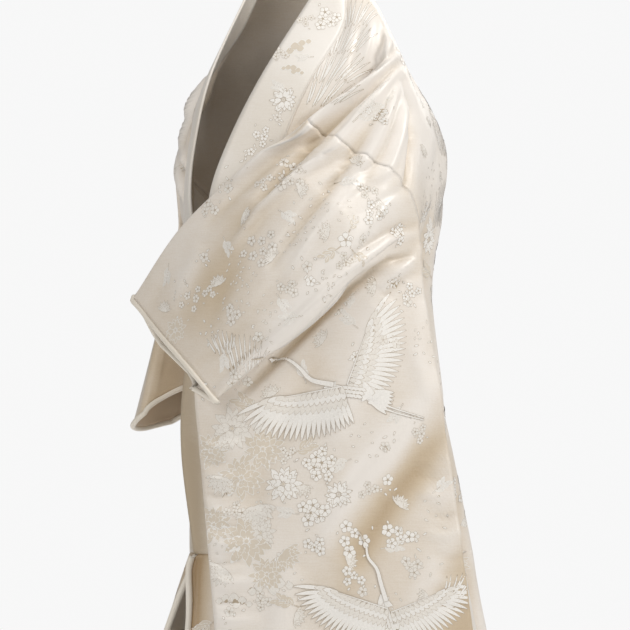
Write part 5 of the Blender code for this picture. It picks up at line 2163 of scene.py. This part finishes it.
SLEEVE_RIGHT_CREASES = view_creases(
    285,
    (-8, 94, -6, 70, -8, 42, 1.6, -0.60),
    (0, 88, 1, 60, -1, 28, 1.9, 0.70),
    (6, 78, 5, 50, 7, 22, 1.6, -0.55),
    (8, 114, 2, 106, -6, 100, 0.9, 0.50),
    (8, 108, 3, 100, -4, 93, 1, -0.55),
) + view_creases(
    0,
    (-15, 108, -13, 98, -12, 88, 0.9, -0.45),
    (-17, 104, -15.5, 94, -14.5, 82, 1, 0.45),
)
# Painted light: a broad band that lightens the shoulder and the top of the sleeve.
SHOULDER_PAINTED_LIGHT = photo_creases(
    (300, 20, 352, 60, 400, 120, 430, 220, 55, 0.40),
)
# Painted shade down the front edges and skirts under the sleeve.
SKIRT_PAINTED_SHADE = photo_creases(
    (186, 240, 186, 470, 184, 820, 22, -1.75),
    (200, 430, 200, 560, 194, 760, 12, -0.40),
)
# Painted shade over the far sleeve's mouth.
FAR_SLEEVE_PAINTED_SHADE = photo_creases(
    (140, 300, 165, 380, 160, 470, 24, -0.95),
)
# Painted shade and painted light over the near sleeve: the shoulder's light band, darker diagonal
# troughs, the shaded arm and lower corner, and a few lighter bands.
HANGING_PAINTED_SHADING = SHOULDER_PAINTED_LIGHT + photo_creases(
    (452, 415, 424, 452, 388, 500, 350, 562, 15, -0.42),
    (440, 372, 398, 430, 352, 482, 316, 545, 12, 0.25),
    (250, 200, 236, 250, 210, 290, 180, 330, 22, -0.50),
    (296, 172, 270, 205, 246, 240, 12, -0.30),
    (474, 500, 462, 610, 446, 740, 30, -0.95),
    (340, 630, 350, 560, 366, 500, 16, -0.25),
    (214, 470, 222, 560, 230, 660, 9, 0.30),
)


def mirrored(creases: Iterable[Crease]) -> tuple[Crease, ...]:
    """Return like creases for the other side, at other heights and of other depths."""
    laid = []
    for index, crease in enumerate(creases):
        drop = 2.0 * sin(index * 1.9)
        places = tuple((-x * 0.96, z - drop) for x, z in crease.places)
        laid.append(Crease(360.0 - crease.azimuth, places, crease.width * 1.1,
                           crease.height * (0.72 + 0.2 * sin(index * 2.3))))
    return tuple(laid)


def main() -> None:
    """Build every piece, dress it and light it."""
    logging.basicConfig(level=logging.INFO, format="%(message)s")
    Studio().build()
    silk, collar_silk = SILK.build(), COLLAR_SILK.build()
    roll_silk, lining_silk = ROLL_SILK.build(), LINING_PAINTED_SHADE_SILK.build()
    satins = {tone: finish.build() for tone, finish in FIGURE_SATINS.items()}
    trim = Trim()
    bodies = []
    sides = ((Side.LEFT, SLEEVE_LEFT, (0.34, 2.04), BODY_LEFT_CREASES,
              SLEEVE_LEFT_CREASES + SLEEVE_LEFT_HIDDEN, OKUMI_CREASES),
             (Side.RIGHT, SLEEVE_RIGHT, (0.28, 1.76), mirrored(BODY_LEFT_CREASES),
              SLEEVE_RIGHT_CREASES, OKUMI_CREASES[:2] + mirrored(OKUMI_CREASES[2:])))
    for side, stations, flat, body_creases, sleeve_creases, okumi_creases in sides:
        body = BodyLength(side, body_creases, okumi_creases, SKIRT_PAINTED_SHADE + SHOULDER_PAINTED_LIGHT)
        body.shape()
        bag = SleeveBag(side, stations, body, flat, sleeve_creases,
                        HANGING_PAINTED_SHADING if side is Side.LEFT else FAR_SLEEVE_PAINTED_SHADE)
        bag.shape()
        body.build(silk, satins)
        bag.build(silk, satins)
        trim.hem(body, roll_silk)
        trim.edge(body, roll_silk)
        trim.cuff(bag, roll_silk)
        if side is Side.RIGHT:
            trim.lining(bag, lining_silk)
        bodies.append(body)
    Collar(tuple(bodies)).build(collar_silk, satins)


if __name__ == "__main__":
    main()
